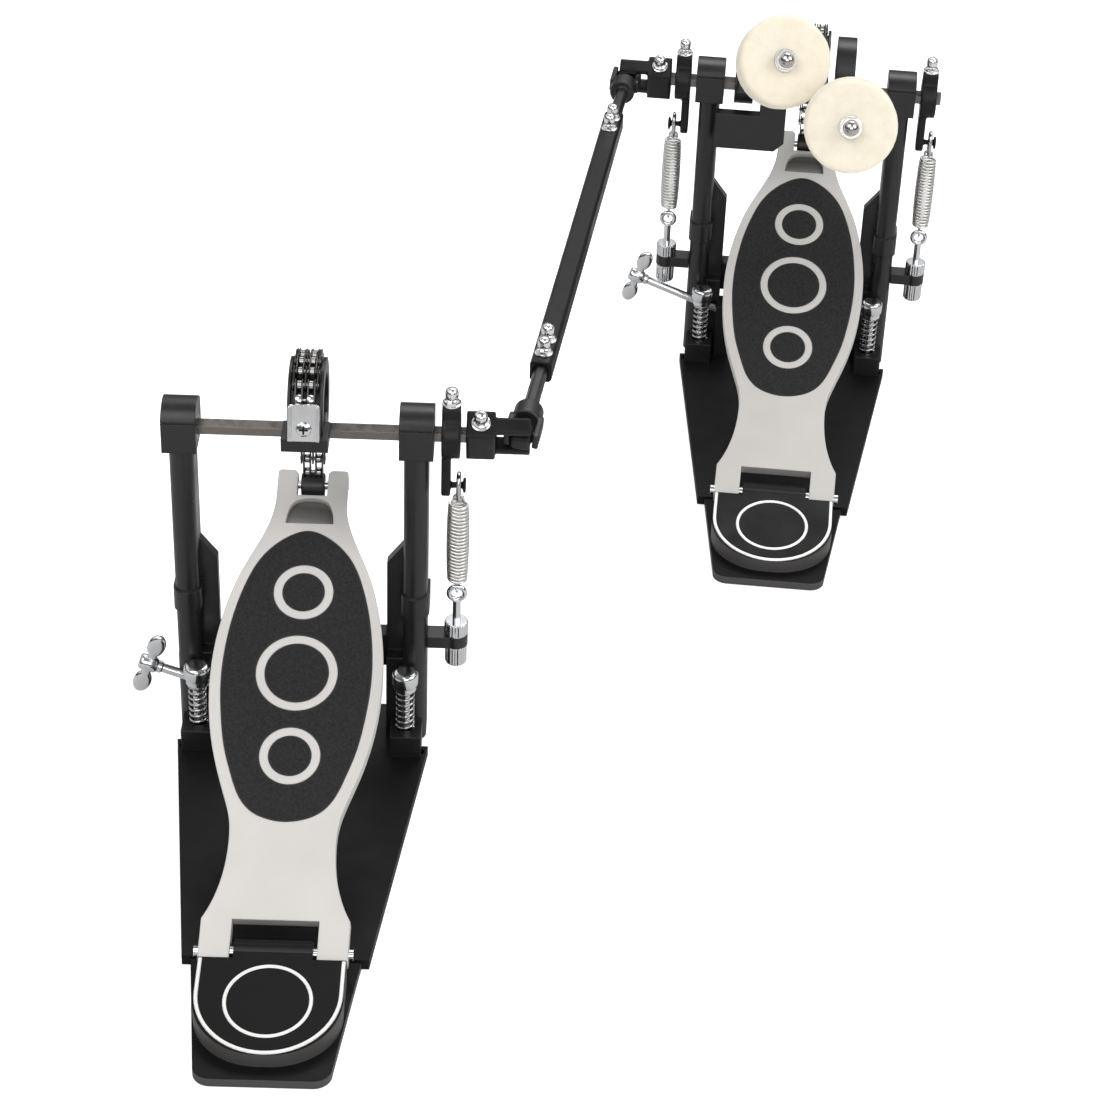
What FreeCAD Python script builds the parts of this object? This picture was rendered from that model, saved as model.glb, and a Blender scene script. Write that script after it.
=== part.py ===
import FreeCAD, Part
import math
import os

doc = FreeCAD.newDocument("double_bass_drum_pedal")
sheet = doc.addObject("Spreadsheet::Sheet", "sizes")

# Every length of the part in millimetres; turns are in degrees and shares are plain ratios.
sizes = {
    "axle_height": 199.0, "axle_flats": 8.0, "axle_reach": 100.0, "axle_stub": 86.0,
    "axle_split_left": -20.3, "axle_split_right": -19.3,
    "fit_gap": 0.05, "side_gap": 0.4, "swing_gap": 0.7, "pin_slack": 2.0, "overrun": 1.0,
    "housing_inner": 51.8, "housing_wide": 17.8, "housing_deep": 25.0, "housing_top": 16.0,
    "housing_low": 9.2, "seam_depth": 0.7, "seam_height": 0.8, "seam_rise": 8.0,
    "bearing_radius": 7.0, "bearing_wide": 7.0,
    "post_middle": 60.5, "post_wide": 12.8, "post_deep": 20.0,
    "collar_low": 88.0, "collar_tall": 13.0, "collar_proud": 1.2,
    "fin_inner": 45.0, "fin_top": 127.0, "fin_slope": 12.0, "fin_thick": 6.0, "fin_back": 3.0,
    "block_top": 58.0, "block_inner": 45.0, "block_front": -5.2, "block_back": 10.0,
    "rod_ear_inner": 37.0, "rod_ear_front": -14.0, "rod_ear_back": 2.0, "rod_ear_top": 43.0,
    "boss_inner": 48.0, "boss_outer": 65.0, "boss_front": -26.0, "boss_back": -9.0, "boss_top": 20.0,
    "spur_x": 56.0, "spur_y": -17.0, "spur_radius": 2.6, "spur_head_radius": 6.0,
    "spur_head_low": 47.0, "spur_head_tall": 8.0, "spur_tip": 1.0, "spur_cup": 3.5,
    "spur_coil_radius": 4.5, "spur_wire": 0.7, "spur_coil_low": 20.3, "spur_coil_top": 46.7,
    "plate_front_half": 68.5, "plate_front": -15.0, "plate_step_half": 46.7, "plate_step": -188.0,
    "plate_under": 22.0, "plate_pad": -34.0, "plate_under_half": 64.0, "plate_thick": 2.5,
    "plate_low": 2.5, "lip_tall": 6.0, "lip_thick": 2.0,
    "plate_hole": 2.6, "plate_hole_x": 64.0, "plate_hole_y": -20.0,
    "hoop_lip_half": 24.0, "hoop_lip_reach": 50.0,
    "heel_shift": 0.3, "heel_back": -272.0, "heel_half": 42.5, "heel_end_half": 33.5, "heel_base_tall": 5.0,
    "heel_corner": 9.0, "heel_top_half": 36.5, "heel_top_back": -263.0, "heel_top_front": -199.0,
    "heel_top_tall": 17.0, "heel_top_drop": 9.0, "tongue_half": 19.5, "tongue_reach": 6.0,
    "hinge_y": -197.0, "hinge_z": 17.5, "hinge_pin_radius": 3.0, "hinge_pin_half": 39.4,
    "hinge_barrel": 6.2,
    "toe_shift": 4.3, "toe_y": 30.0, "toe_drop": 53.5, "toe_pin_radius": 2.4, "toe_pin_half": 18.9,
    "board_thick": 8.0, "board_top": 4.5,
    "lug_end": -6.0, "lug_half": 36.9, "notch_half": 21.6, "notch_end": 15.5,
    "leaf_half": 44.3, "neck_half": 18.6,
    "prong_inner": 8.0, "prong_notch": 8.6, "prong_reach": 6.4, "prong_round": 1.8,
    "dish_back": 25.4, "dish_half": 12.6, "dish_tall": 15.0, "dish_deep": 4.0,
    "inlay_deep": 1.2, "ring_line": 4.4, "small_ring": 15.5, "large_ring": 21.0, "ring_gap": 9.5,
    "cam_back": 8.0, "cam_up": 10.6, "cam_radius": 21.5, "cam_hole": 16.5,
    "cam_wide": 15.0, "cam_hub": 9.5, "cam_hub_half": 9.5, "flange_radius": 24.6, "flange_wide": 1.6,
    "cam_foot_low": -0.5, "cam_foot_tall": 7.5, "cam_foot_wide": 24.0, "cam_foot_front": -21.0,
    "cam_foot_back": -3.0, "clip_wide": 16.6, "clip_tall": 20.0, "clip_thick": 2.0, "clip_out": 9.4,
    "clip_lap": 3.0, "clip_screw": 4.0, "clip_screw_tall": 1.6, "clip_screw_drop": 3.0,
    "chain_radius": 25.5, "chain_pitch": 8.0, "link_radius": 3.2, "link_thick": 0.8,
    "inner_plate": 4.9, "middle_plate": 1.5, "outer_plate": 6.1, "roller_radius": 2.4, "link_pin": 1.1,
    "barrel_radius": 6.6, "barrel_half": 6.2,
    "rocker_inner": 73.4, "rocker_wide": 9.7, "rocker_radius": 12.5, "rocker_top": 18.0,
    "rocker_boss_half": 5.5, "rocker_arm_half": 6.0, "stud_drop": 31.0, "stud_radius": 1.7,
    "stud_reach": 6.5, "stud_head": 4.2, "stud_head_tall": 1.6,
    "key_shank": 2.6, "key_collar": 4.2, "key_collar_tall": 3.0, "key_square": 5.4, "key_tall": 10.0,
    "key_sink": 6.0,
    "arm_inner": 66.5, "arm_round": 6.3, "arm_low": 66.0, "arm_tall": 7.0, "arm_deep": 11.0,
    "eye_x": 82.5, "eye_bolt_radius": 2.2, "eye_bolt_low": 52.0, "eye_z": 99.0, "eye_ring": 4.2,
    "eye_wire": 1.4, "knurl_radius": 6.2, "knurl_tall": 8.0, "nut_radius": 5.4, "nut_tall": 12.0,
    "coil_rise": 9.0, "coil_drop": 2.5, "coil_belly": 5.3, "coil_end": 4.4, "coil_wire": 0.8,
    "loop_radius": 2.5, "hook_wire": 1.2, "hook_inner": 3.6, "hook_above": 3.4, "hook_drop": 8.5,
    "yoke_start": 86.0, "yoke_bar_end": 101.0, "yoke_half": 8.0, "joint_x": 114.5, "ear_inner": 7.6,
    "ear_thick": 3.8, "ear_half": 4.5, "cross_half": 5.0, "cross_pin": 2.2, "fork_inner": 5.8,
    "fork_thick": 3.4, "fork_radius": 4.0, "fork_slack": 0.9, "fork_base": 13.2, "fork_base_long": 13.0,
    "cup_radius": 7.8, "shaft_rod": 4.2, "rod_reach": 95.0,
    "tube_half": 5.9, "tube_start": 66.0, "tube_bore": 4.25, "tube_corner": 1.4,
    "tube_bolt_first": 10.0, "tube_bolt_sink": 1.5, "tube_bolt_step": 14.0,
    "main_hub_x": 24.2, "hub_wide": 12.0, "hub_radius": 12.0, "hub_neck": 7.0, "hub_reach": 20.0,
    "left_hub_x": -39.0, "rod_radius": 4.0,
    "felt_radius": 26.5, "felt_thick": 24.0, "left_felt_back": 178.0, "main_felt_back": 210.0,
    "felt_edge": 3.0, "hex_nut": 6.2, "hex_nut_tall": 4.0, "dome_radius": 4.6,
    "washer_radius": 6.6, "washer_thick": 1.2,
    "bracket_left": -55.5, "bracket_right": -11.2, "bracket_front": -20.0, "bracket_back": -12.6,
    "bracket_drop": 36.0, "bracket_tall": 24.0, "bracket_bevel": 6.0,
    "riser_left": -28.0, "riser_rise": 13.0, "riser_back": 12.0, "riser_drop": 19.0,
    "bridge_low": 48.0, "bridge_tall": 20.0, "bridge_front": 2.0, "bridge_back": 12.0,
    "jaw_half": 22.0, "jaw_pivot_y": 20.0, "jaw_pivot_z": 40.0, "jaw_pin": 3.0, "jaw_reach": 48.0,
    "jaw_low": 22.0, "jaw_nose": 14.0, "jaw_thick": 10.0, "jaw_eye": 6.5, "jaw_lug": 26.0,
    "jaw_lug_wide": 6.0,
    "wing_rod": 2.6, "wing_rod_y": -8.6, "wing_rod_z": 44.0, "wing_rod_x": -60.5, "wing_inner": 36.0,
    "wing_hub": 5.5, "wing_hub_long": 11.0, "wing_reach": 15.0, "wing_thick": 4.0, "wing_tip": 5.0,
    "main_wing_out": 37.0, "slave_wing_out": 18.0,
    "slave_x": -249.3, "slave_y": -450.6,
}
turns = {
    "slave_turn": 5.1, "wing_slope": 20.6, "left_beater_tilt": 29.4, "left_beater_lean": 6.8,
    "main_beater_tilt": 20.4, "main_beater_lean": 0.0,
    "yoke_tilt": 27.0, "spur_curls": 7.0, "coil_curls": 23.0, "coil_start_turn": 65.0,
}
shares = {"barrel_share": 0.5}

cells = dict(sizes)
cells.update(turns)
cells.update(shares)
for row, (word, value) in enumerate(cells.items(), start=1):
    sheet.set("A%d" % row, word)
    sheet.set("B%d" % row, str(value))
    sheet.setAlias("B%d" % row, word)
doc.recompute()


class Named:
    """Reads a named size from the sheet."""

    def __getattr__(self, word):
        return float(sheet.get(word))


S = Named()
X_AXIS = FreeCAD.Vector(1, 0, 0)
Y_AXIS = FreeCAD.Vector(0, 1, 0)
Z_AXIS = FreeCAD.Vector(0, 0, 1)
HOME = FreeCAD.Placement()
FACET_SIDES = 8
HEX_SIDES = 6
HALF = 0.5
QUARTERS = 4
BEND_STEPS = 8
ROUND_SIDES = 24
SAME_PLACE_SHARE = 1e-6

# Half width as a share of the leaf's half width, at a share of the way from hinge to toe.
BOARD_SHARES = ((0.705, 0.107), (0.630, 0.161), (0.607, 0.207), (0.623, 0.257), (0.713, 0.311),
                (0.822, 0.365), (0.912, 0.422), (0.975, 0.487), (1.0, 0.56), (0.975, 0.637),
                (0.894, 0.714), (0.781, 0.779), (0.655, 0.829), (0.533, 0.875), (0.447, 0.921))
INLAY_SHARES = ((0.215, 0.2635), (0.39, 0.2775), (0.528, 0.303), (0.652, 0.351), (0.752, 0.403),
                (0.826, 0.468), (0.874, 0.56), (0.849, 0.641), (0.776, 0.714), (0.686, 0.767),
                (0.555, 0.817), (0.413, 0.848), (0.226, 0.873))
INLAY_LOW_SHARE = 0.258
INLAY_TOP_SHARE = 0.886
DISH_SHARES = ((0.93, 0.45), (0.72, 0.82), (0.38, 0.97))
made = {}


def vec(x, y, z):
    return FreeCAD.Vector(x, y, z)


def bind(thing, **words):
    """Ties properties of a document object to named cells."""
    for prop, word in words.items():
        thing.setExpression(prop, "sizes." + word)


def turned(start, direction):
    """Placement that puts a Z-long primitive at start along direction."""
    return FreeCAD.Placement(start, FreeCAD.Rotation(Z_AXIS, direction))


def rod(name, radius, start, end):
    """Round bar between two points; radius is a cell name."""
    thing = doc.addObject("Part::Cylinder", name)
    bind(thing, Radius=radius)
    thing.Height = (end - start).Length
    thing.Placement = turned(start, end - start)
    return thing


def prism(name, sides, radius, start, end):
    """Regular bar with flat sides between two points; radius is to the corners."""
    thing = doc.addObject("Part::Prism", name)
    thing.Polygon = sides
    thing.Circumradius = radius
    thing.Height = (end - start).Length
    thing.Placement = turned(start, end - start)
    return thing


def block(name, low, high):
    """Box between two corners."""
    thing = doc.addObject("Part::Box", name)
    thing.Length = high.x - low.x
    thing.Width = high.y - low.y
    thing.Height = high.z - low.z
    thing.Placement = FreeCAD.Placement(low, FreeCAD.Rotation())
    return thing


def fuse(name, things):
    if len(things) == 1:
        return things[0]
    thing = doc.addObject("Part::MultiFuse", name)
    thing.Shapes = things
    thing.Refine = True
    return thing


def cut(name, base, tools):
    thing = doc.addObject("Part::Cut", name)
    thing.Base = base
    thing.Tool = fuse(name + "_tools", tools)
    thing.Refine = True
    return thing


def plain(name, shape):
    """Shape made directly, for forms that no feature gives."""
    thing = doc.addObject("Part::Feature", name)
    thing.Shape = shape
    return thing


def flat(spot):
    return vec(spot[0], spot[1], 0)


def draw(sketch, path):
    """Adds a closed path of points, ('arc', middle, end) and ('curve', middles, end) steps to a sketch."""
    if path[0] == "loop":
        curve = Part.BSplineCurve()
        curve.interpolate(Points=[flat(spot) for spot in path[1]], PeriodicFlag=True)
        sketch.addGeometry(curve, False)
        return
    start = path[0]
    here = start
    for step in path[1:] + [start]:
        end = step_end(step)
        if step[0] == "arc":
            sketch.addGeometry(Part.Arc(flat(here), flat(step[1]), flat(end)), False)
        elif step[0] == "curve":
            curve = Part.BSplineCurve()
            curve.interpolate(Points=[flat(spot) for spot in [here] + list(step[1]) + [end]])
            sketch.addGeometry(curve, False)
        elif math.dist(here, end) > SAME_PLACE_SHARE * S.axle_height:
            sketch.addGeometry(Part.LineSegment(flat(here), flat(end)), False)
        here = end


def step_end(step):
    return step[2] if len(step) == 3 else step


def new_body(name):
    return doc.addObject("PartDesign::Body", name)


def new_sketch(body, name, plane, offset):
    """Sketch on one of the body's own planes, moved along the plane's normal."""
    sketch = body.newObject("Sketcher::SketchObject", name)
    for item in body.Origin.OriginFeatures:
        if item.Role == plane:
            sketch.AttachmentSupport = (item, [""])
    sketch.MapMode = "FlatFace"
    sketch.AttachmentOffset = FreeCAD.Placement(vec(0, 0, offset), FreeCAD.Rotation())
    return sketch


def pad(body, name, plane, offset, paths, length, circles=()):
    """Pads closed paths (and circles) from a plane; length is a cell name."""
    sketch = new_sketch(body, name + "_sketch", plane, offset)
    for path in paths:
        draw(sketch, path)
    for (x, y, radius) in circles:
        sketch.addGeometry(Part.Circle(vec(x, y, 0), Z_AXIS, radius), False)
    doc.recompute()
    feature = body.newObject("PartDesign::Pad", name)
    feature.Profile = sketch
    bind(feature, Length=length)
    doc.recompute()
    body.Tip = feature
    return feature


def pocket(body, name, plane, offset, paths, length, circles=()):
    """Cuts closed paths downwards from a plane; length is a cell name."""
    sketch = new_sketch(body, name + "_sketch", plane, offset)
    for path in paths:
        draw(sketch, path)
    for (x, y, radius) in circles:
        sketch.addGeometry(Part.Circle(vec(x, y, 0), Z_AXIS, radius), False)
    doc.recompute()
    feature = body.newObject("PartDesign::Pocket", name)
    feature.Profile = sketch
    bind(feature, Length=length)
    doc.recompute()
    body.Tip = feature
    return feature


def node(label, things, place):
    """Makes one finished sub-part; several solids share it as a group."""
    if len(things) == 1:
        thing = things[0]
        thing.Placement = place.multiply(thing.Placement)
    else:
        thing = doc.addObject("Part::Compound", label + "_group")
        thing.Links = things
        thing.Placement = place
    thing.Label = label
    made[label] = thing
    return thing


def moved_path(path, move):
    """The same path with every point sent through a function."""
    if path[0] == "loop":
        return ("loop", [move(spot) for spot in path[1]])
    moved = []
    for step in path:
        if step[0] == "arc":
            moved.append(("arc", move(step[1]), move(step[2])))
        elif step[0] == "curve":
            moved.append(("curve", [move(spot) for spot in step[1]], move(step[2])))
        else:
            moved.append(move(step))
    return moved


def mirror_path(right):
    """Closed path from its right half, listed from bottom to top."""
    left = moved_path(right, lambda spot: (-spot[0], spot[1]))
    path = list(right)
    path.append(step_end(left[-1]))
    for index in range(len(left) - 1, 0, -1):
        target = step_end(left[index - 1])
        step = left[index]
        if step[0] == "arc":
            path.append(("arc", step[1], target))
        elif step[0] == "curve":
            path.append(("curve", step[1][::-1], target))
        else:
            path.append(target)
    return path


SIDEWAYS = FreeCAD.Rotation(vec(1, 1, 1), 120)
UPRIGHT = FreeCAD.Rotation(X_AXIS, 90)
FLAT = FreeCAD.Rotation()


def slab(name, paths, length, base, rotation, circles=()):
    """Body padded from a flat outline and then set at base; length is a cell name."""
    body = new_body(name)
    pad(body, name + "_pad", "XY_Plane", 0, paths, length, circles)
    body.Placement = FreeCAD.Placement(base, rotation)
    return body


def hex_radius(flats):
    return flats * HALF / math.cos(math.pi / HEX_SIDES)


AXLE_CORNER = hex_radius(S.axle_flats)
TOE_Z = S.axle_height - S.toe_drop
STUD_Z = S.axle_height - S.stud_drop
HOOK_LOW = STUD_Z - S.hook_drop
COIL_LOW = S.eye_z + S.coil_rise
COIL_TOP = HOOK_LOW - S.coil_drop
BOARD_TURN = math.degrees(math.atan2(TOE_Z - S.hinge_z, S.toe_y - S.hinge_y))
BOARD_LENGTH = math.hypot(TOE_Z - S.hinge_z, S.toe_y - S.hinge_y)
BOARD_SKEW = (S.toe_shift - S.heel_shift) / BOARD_LENGTH
CAM_MIDDLE = (S.cam_back, S.axle_height + S.cam_up)
LINK_TURN = 2 * math.degrees(math.asin(S.chain_pitch * HALF / S.chain_radius))
PEEL_LINKS = 3
WRAP_LINKS = 5
RUN_LINKS = 7


# Base plate: a tapered sheet pan, hollow below, with a lip for the drum hoop.
def base_plate(label, place):
    right = [(S.plate_step_half, S.plate_step), (S.plate_front_half, S.plate_front),
             (S.plate_under_half, S.plate_front), (S.plate_under_half, S.plate_under),
             (S.hoop_lip_half, S.plate_under), (S.hoop_lip_half, S.hoop_lip_reach)]
    body = new_body(label + "_body")
    pad(body, label + "_pad", "XY_Plane", 0, [mirror_path(right)], "lip_tall")
    inset = S.lip_thick
    hollow = [(S.plate_step_half - inset, S.plate_step + inset), (S.plate_under_half - inset, S.plate_pad)]
    pan = new_body(label + "_pan")
    pad(pan, label + "_pan_pad", "XY_Plane", 0, [mirror_path(hollow)], "plate_low")
    holes = [pan]
    for side in (-1, 1):
        low = vec(side * S.plate_hole_x, S.plate_hole_y, -S.plate_thick)
        high = vec(side * S.plate_hole_x, S.plate_hole_y, S.lip_tall + S.plate_thick)
        holes.append(rod(label + "_hole%d" % side, "plate_hole", low, high))
        low = vec(side * S.spur_x, S.spur_y, -S.plate_thick)
        high = vec(side * S.spur_x, S.spur_y, S.lip_tall + S.plate_thick)
        holes.append(rod(label + "_spur_hole%d" % side, "spur_cup", low, high))
    node(label, [cut(label + "_cut", body, holes)], place)


# Heel plate: flat base, sloped top with a rounded back, and the hinge tongue.
def heel_plate(label, place):
    shift = S.heel_shift
    front = S.plate_step - S.side_gap
    corner = S.heel_corner
    bend = corner * (1 - math.sqrt(HALF))
    foot = [(S.heel_end_half - corner, S.heel_back),
            ("arc", (S.heel_end_half - bend, S.heel_back + bend), (S.heel_end_half, S.heel_back + corner)),
            (S.heel_half, front)]
    base = slab(label + "_foot", [mirror_path(foot)], "heel_base_tall", vec(shift, 0, 0), FLAT)
    bow = (S.heel_top_half * math.sqrt(HALF), S.heel_top_back + S.heel_corner)
    side_y = S.heel_top_back + S.heel_top_half
    upper_front = S.heel_top_front - S.hinge_barrel
    top = [(0, S.heel_top_back), ("arc", bow, (S.heel_top_half, side_y)), (S.heel_top_half, upper_front)]
    left = [(-S.heel_top_half, upper_front), (-S.heel_top_half, side_y),
            ("arc", (-bow[0], bow[1]), (0, S.heel_top_back))]
    upper = slab(label + "_upper", [top + left], "heel_top_tall", vec(shift, 0, S.heel_base_tall), FLAT)
    rise = S.heel_base_tall + S.heel_top_tall
    tongue = block(label + "_tongue", vec(shift - S.tongue_half, upper_front - S.tongue_reach, 0),
                   vec(shift + S.tongue_half, S.hinge_y, rise + S.heel_top_drop))
    run = upper_front - S.heel_top_back
    wedge = [(S.heel_top_back - run, rise - 2 * S.heel_top_drop),
             (S.heel_top_front + run, rise + S.heel_top_drop),
             (S.heel_top_front + run, rise + 2 * S.heel_top_tall),
             (S.heel_top_back - run, rise + 2 * S.heel_top_tall)]
    slope = slab(label + "_slope", [wedge], "heel_half * 2", vec(shift - S.heel_half, 0, 0), SIDEWAYS)
    sloped = cut(label + "_sloped", fuse(label + "_top", [upper, tongue]), [slope])
    eye = rod(label + "_eye", "hinge_barrel", vec(shift - S.tongue_half, S.hinge_y, S.hinge_z),
              vec(shift + S.tongue_half, S.hinge_y, S.hinge_z))
    whole = fuse(label + "_whole", [base, sloped, eye])
    bore = prism(label + "_bore", ROUND_SIDES, S.hinge_pin_radius + 2 * S.fit_gap,
                 vec(shift - S.heel_half, S.hinge_y, S.hinge_z),
                 vec(shift + S.heel_half, S.hinge_y, S.hinge_z))
    room = block(label + "_room", vec(shift - S.heel_half, front, -S.plate_thick),
                 vec(shift + S.heel_half, S.plate_step + S.heel_half, S.lip_tall + S.side_gap))
    node(label, [cut(label + "_cut", whole, [bore, room])], place)


# Upright: post with round front, collar, fin, foot blocks and bearing housing.
def upright(label, side, place):
    def at(x, y, z):
        return vec(side * x, y, z)

    def span(name, x0, x1, y0, y1, z0, z1):
        low = min(side * x0, side * x1)
        high = max(side * x0, side * x1)
        return block(name, vec(low, y0, z0), vec(high, y1, z1))
    half = S.post_wide * HALF
    deep = S.post_deep * HALF
    outline = [(half, deep), (-half, deep), (-half, half - deep), ("arc", (0, -deep), (half, half - deep))]
    body = new_body(label + "_post")
    pad(body, label + "_post_pad", "XY_Plane", 0, [outline], "axle_height")
    body.Placement = FreeCAD.Placement(at(S.post_middle, 0, S.lip_tall), FLAT)
    trim = span(label + "_trim", S.post_middle - S.post_wide, S.post_middle + S.post_wide,
                -S.post_deep, S.post_deep, S.axle_height - S.housing_low + S.collar_proud, 2 * S.axle_height)
    post = cut(label + "_post_cut", body, [trim])
    band = half + S.collar_proud
    ring = [(band, deep), (-band, deep), (-band, half - deep),
            ("arc", (0, -deep - S.collar_proud), (band, half - deep))]
    collar = slab(label + "_collar", [ring], "collar_tall", at(S.post_middle, 0, S.collar_low), FLAT)
    outer = S.post_middle
    fin_path = [(side * outer, S.lip_tall), (side * S.fin_inner, S.lip_tall),
                (side * S.fin_inner, S.fin_top - S.fin_slope), (side * (S.post_middle - half), S.fin_top),
                (side * outer, S.fin_top)]
    fin = slab(label + "_fin", [fin_path], "fin_thick", vec(0, S.fin_back + S.fin_thick, 0), UPRIGHT)
    lower = span(label + "_lower", S.block_inner, S.post_middle + half, S.block_front, S.block_back,
                 S.lip_tall, S.block_top)
    boss = span(label + "_boss", S.boss_inner, S.boss_outer, S.boss_front, S.boss_back + S.collar_proud,
                S.lip_tall, S.boss_top)
    arch = S.housing_deep * HALF
    low = S.axle_height - S.housing_low
    high = S.axle_height + S.housing_top
    shoulder = high - arch * HALF
    crown = [(-arch, low), (arch, low), (arch, shoulder), ("arc", (0, high), (-arch, shoulder))]
    left_face = min(side * S.housing_inner, side * (S.housing_inner + S.housing_wide))
    housing = slab(label + "_housing", [crown], "housing_wide", vec(left_face, 0, 0), SIDEWAYS)
    pieces = [post, collar, fin, lower, boss, housing]
    inner = S.housing_inner
    seam_z = S.axle_height + S.seam_rise
    tools = [
        prism(label + "_seat", ROUND_SIDES, S.bearing_radius + 2 * S.fit_gap,
              at(inner - S.overrun, 0, S.axle_height),
              at(inner + S.bearing_wide + S.fit_gap, 0, S.axle_height)),
        prism(label + "_passage", ROUND_SIDES, AXLE_CORNER + S.swing_gap, at(inner, 0, S.axle_height),
              at(inner + 2 * S.housing_wide, 0, S.axle_height)),
        rod(label + "_spur_bore", "spur_cup", at(S.spur_x, S.spur_y, 0),
            at(S.spur_x, S.spur_y, S.boss_top + S.lip_tall)),
        span(label + "_seam", inner, inner + S.housing_wide, -S.housing_deep, S.seam_depth - arch,
             seam_z, seam_z + S.seam_height),
    ]
    if side < 0:
        pieces.append(span(label + "_rod_ear", S.rod_ear_inner, S.block_inner + S.collar_proud,
                           S.rod_ear_front, S.rod_ear_back, S.lip_tall, S.rod_ear_top))
        slope = math.radians(S.wing_slope)
        along = vec(math.cos(slope), 0, -math.sin(slope))
        middle = vec(S.wing_rod_x, S.wing_rod_y, S.wing_rod_z)
        tools.append(prism(label + "_rod_bore", ROUND_SIDES, S.wing_rod + 2 * S.fit_gap,
                           middle - along * S.wing_inner, middle + along * S.wing_inner))
    whole = fuse(label + "_whole", pieces)
    node(label, [cut(label + "_cut", whole, tools)], place)


# Footboard: leaf outline, heel lugs, toe prongs, dished recess and an inlay recess with three plain rings.
def on_board(share_spot):
    """Point on the board from a share of its half width and of its length."""
    return (share_spot[0] * S.leaf_half, share_spot[1] * BOARD_LENGTH)


def leaned(path):
    """Path shifted sideways in step with the way along the board, as the toe sits off the heel's middle."""
    return moved_path(path, lambda spot: (spot[0] + BOARD_SKEW * spot[1], spot[1]))


def board_outline():
    edge = [on_board(spot) for spot in BOARD_SHARES]
    end = BOARD_LENGTH + S.prong_reach
    soft = S.prong_round
    bend = soft * (1 - math.sqrt(HALF))
    right = [(S.notch_half, S.notch_end), (S.notch_half, S.lug_end), (S.lug_half, S.lug_end),
             (S.lug_half, S.notch_end), ("curve", edge, (S.neck_half, BOARD_LENGTH - S.prong_notch)),
             (S.neck_half, end - soft), ("arc", (S.neck_half - bend, end - bend), (S.neck_half - soft, end)),
             (S.prong_inner + soft, end), (S.prong_inner, end - soft),
             (S.prong_inner, BOARD_LENGTH - S.prong_notch)]
    return leaned(mirror_path(right))


def inlay_outline(extra):
    """Leaf-shaped inlay, smaller by the given gap."""
    low = INLAY_LOW_SHARE * BOARD_LENGTH
    top = INLAY_TOP_SHARE * BOARD_LENGTH
    middle = (low + top) * HALF
    right = [on_board(spot) for spot in INLAY_SHARES]
    left = [(-spot[0], spot[1]) for spot in reversed(right)]
    across = 1 - extra / right[len(right) // 2][0]
    along = 1 - extra / (top - middle)

    def shrunk(spot):
        return (spot[0] * across, middle + (spot[1] - middle) * along)
    return leaned(moved_path(("loop", [(0, low)] + right + [(0, top)] + left), shrunk))


def ring_circles(extra):
    """Outer and inner circles of the three plain rings."""
    middle = (INLAY_LOW_SHARE + INLAY_TOP_SHARE) * HALF * BOARD_LENGTH
    reach = S.large_ring + S.ring_gap + S.small_ring
    circles = []
    for v, radius in ((middle - reach, S.small_ring), (middle, S.large_ring),
                      (middle + reach, S.small_ring)):
        circles.append((BOARD_SKEW * v, v, radius + extra))
        circles.append((BOARD_SKEW * v, v, radius - S.ring_line - extra))
    return circles


def board_place(place):
    turn = FreeCAD.Rotation(X_AXIS, BOARD_TURN)
    return place.multiply(FreeCAD.Placement(vec(S.heel_shift, S.hinge_y, S.hinge_z), turn))


def footboard(prefix, place):
    name = prefix + "_footboard"
    slab_body = slab(name + "_slab", [board_outline()], "board_thick",
                     vec(0, 0, S.board_top - S.board_thick), FLAT)
    lugs = []
    for side in (-1, 1):
        lugs.append(rod(name + "_lug%d" % side, "hinge_barrel", vec(side * S.notch_half, 0, 0),
                        vec(side * S.lug_half, 0, 0)))
    crop = block(name + "_crop", vec(-S.leaf_half, -S.leaf_half, S.board_top),
                 vec(S.leaf_half, S.leaf_half, S.leaf_half))
    solid = fuse(name + "_solid", [slab_body] + lugs)
    recess = slab(name + "_recess", [inlay_outline(0)], "board_thick",
                  vec(0, 0, S.board_top - S.inlay_deep), FLAT, ring_circles(0))
    dish_low = BOARD_LENGTH - S.dish_back
    dish_side = [(spot[0] * S.dish_half, dish_low + spot[1] * S.dish_tall) for spot in DISH_SHARES]
    dish_right = [(0, dish_low), (S.dish_half, dish_low), ("curve", dish_side, (0, dish_low + S.dish_tall))]
    dish = slab(name + "_dish", [leaned(mirror_path(dish_right))], "board_thick",
                vec(0, 0, S.board_top - S.dish_deep), FLAT)
    pin_bore = prism(name + "_pin_bore", ROUND_SIDES, S.hinge_pin_radius + 2 * S.fit_gap,
                     vec(-S.leaf_half, 0, 0), vec(S.leaf_half, 0, 0))
    toe_bore = prism(name + "_toe_bore", ROUND_SIDES, S.toe_pin_radius + 2 * S.fit_gap,
                     vec(-S.leaf_half, BOARD_LENGTH, 0), vec(S.leaf_half, BOARD_LENGTH, 0))
    board = cut(name + "_cut", solid, [recess, dish, pin_bore, toe_bore, crop])
    node(name, [board], board_place(place))
    pad_body = slab(prefix + "_grip_body", [inlay_outline(2 * S.fit_gap)], "inlay_deep",
                    vec(0, 0, S.board_top - S.inlay_deep), FLAT, ring_circles(2 * S.fit_gap))
    node(prefix + "_grip_pad", [pad_body], board_place(place))
    toe_x = S.toe_shift - S.heel_shift
    pin = rod(prefix + "_toe_bar", "toe_pin_radius", vec(toe_x - S.toe_pin_half, BOARD_LENGTH, 0),
              vec(toe_x + S.toe_pin_half, BOARD_LENGTH, 0))
    node(prefix + "_toe_pin", [pin], board_place(place))


# Hex axle between two places on the axle line.
def axle(label, x_from, x_to, place):
    bar = prism(label + "_bar", HEX_SIDES, AXLE_CORNER, vec(x_from, 0, S.axle_height),
                vec(x_to, 0, S.axle_height))
    node(label, [bar], place)


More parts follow.
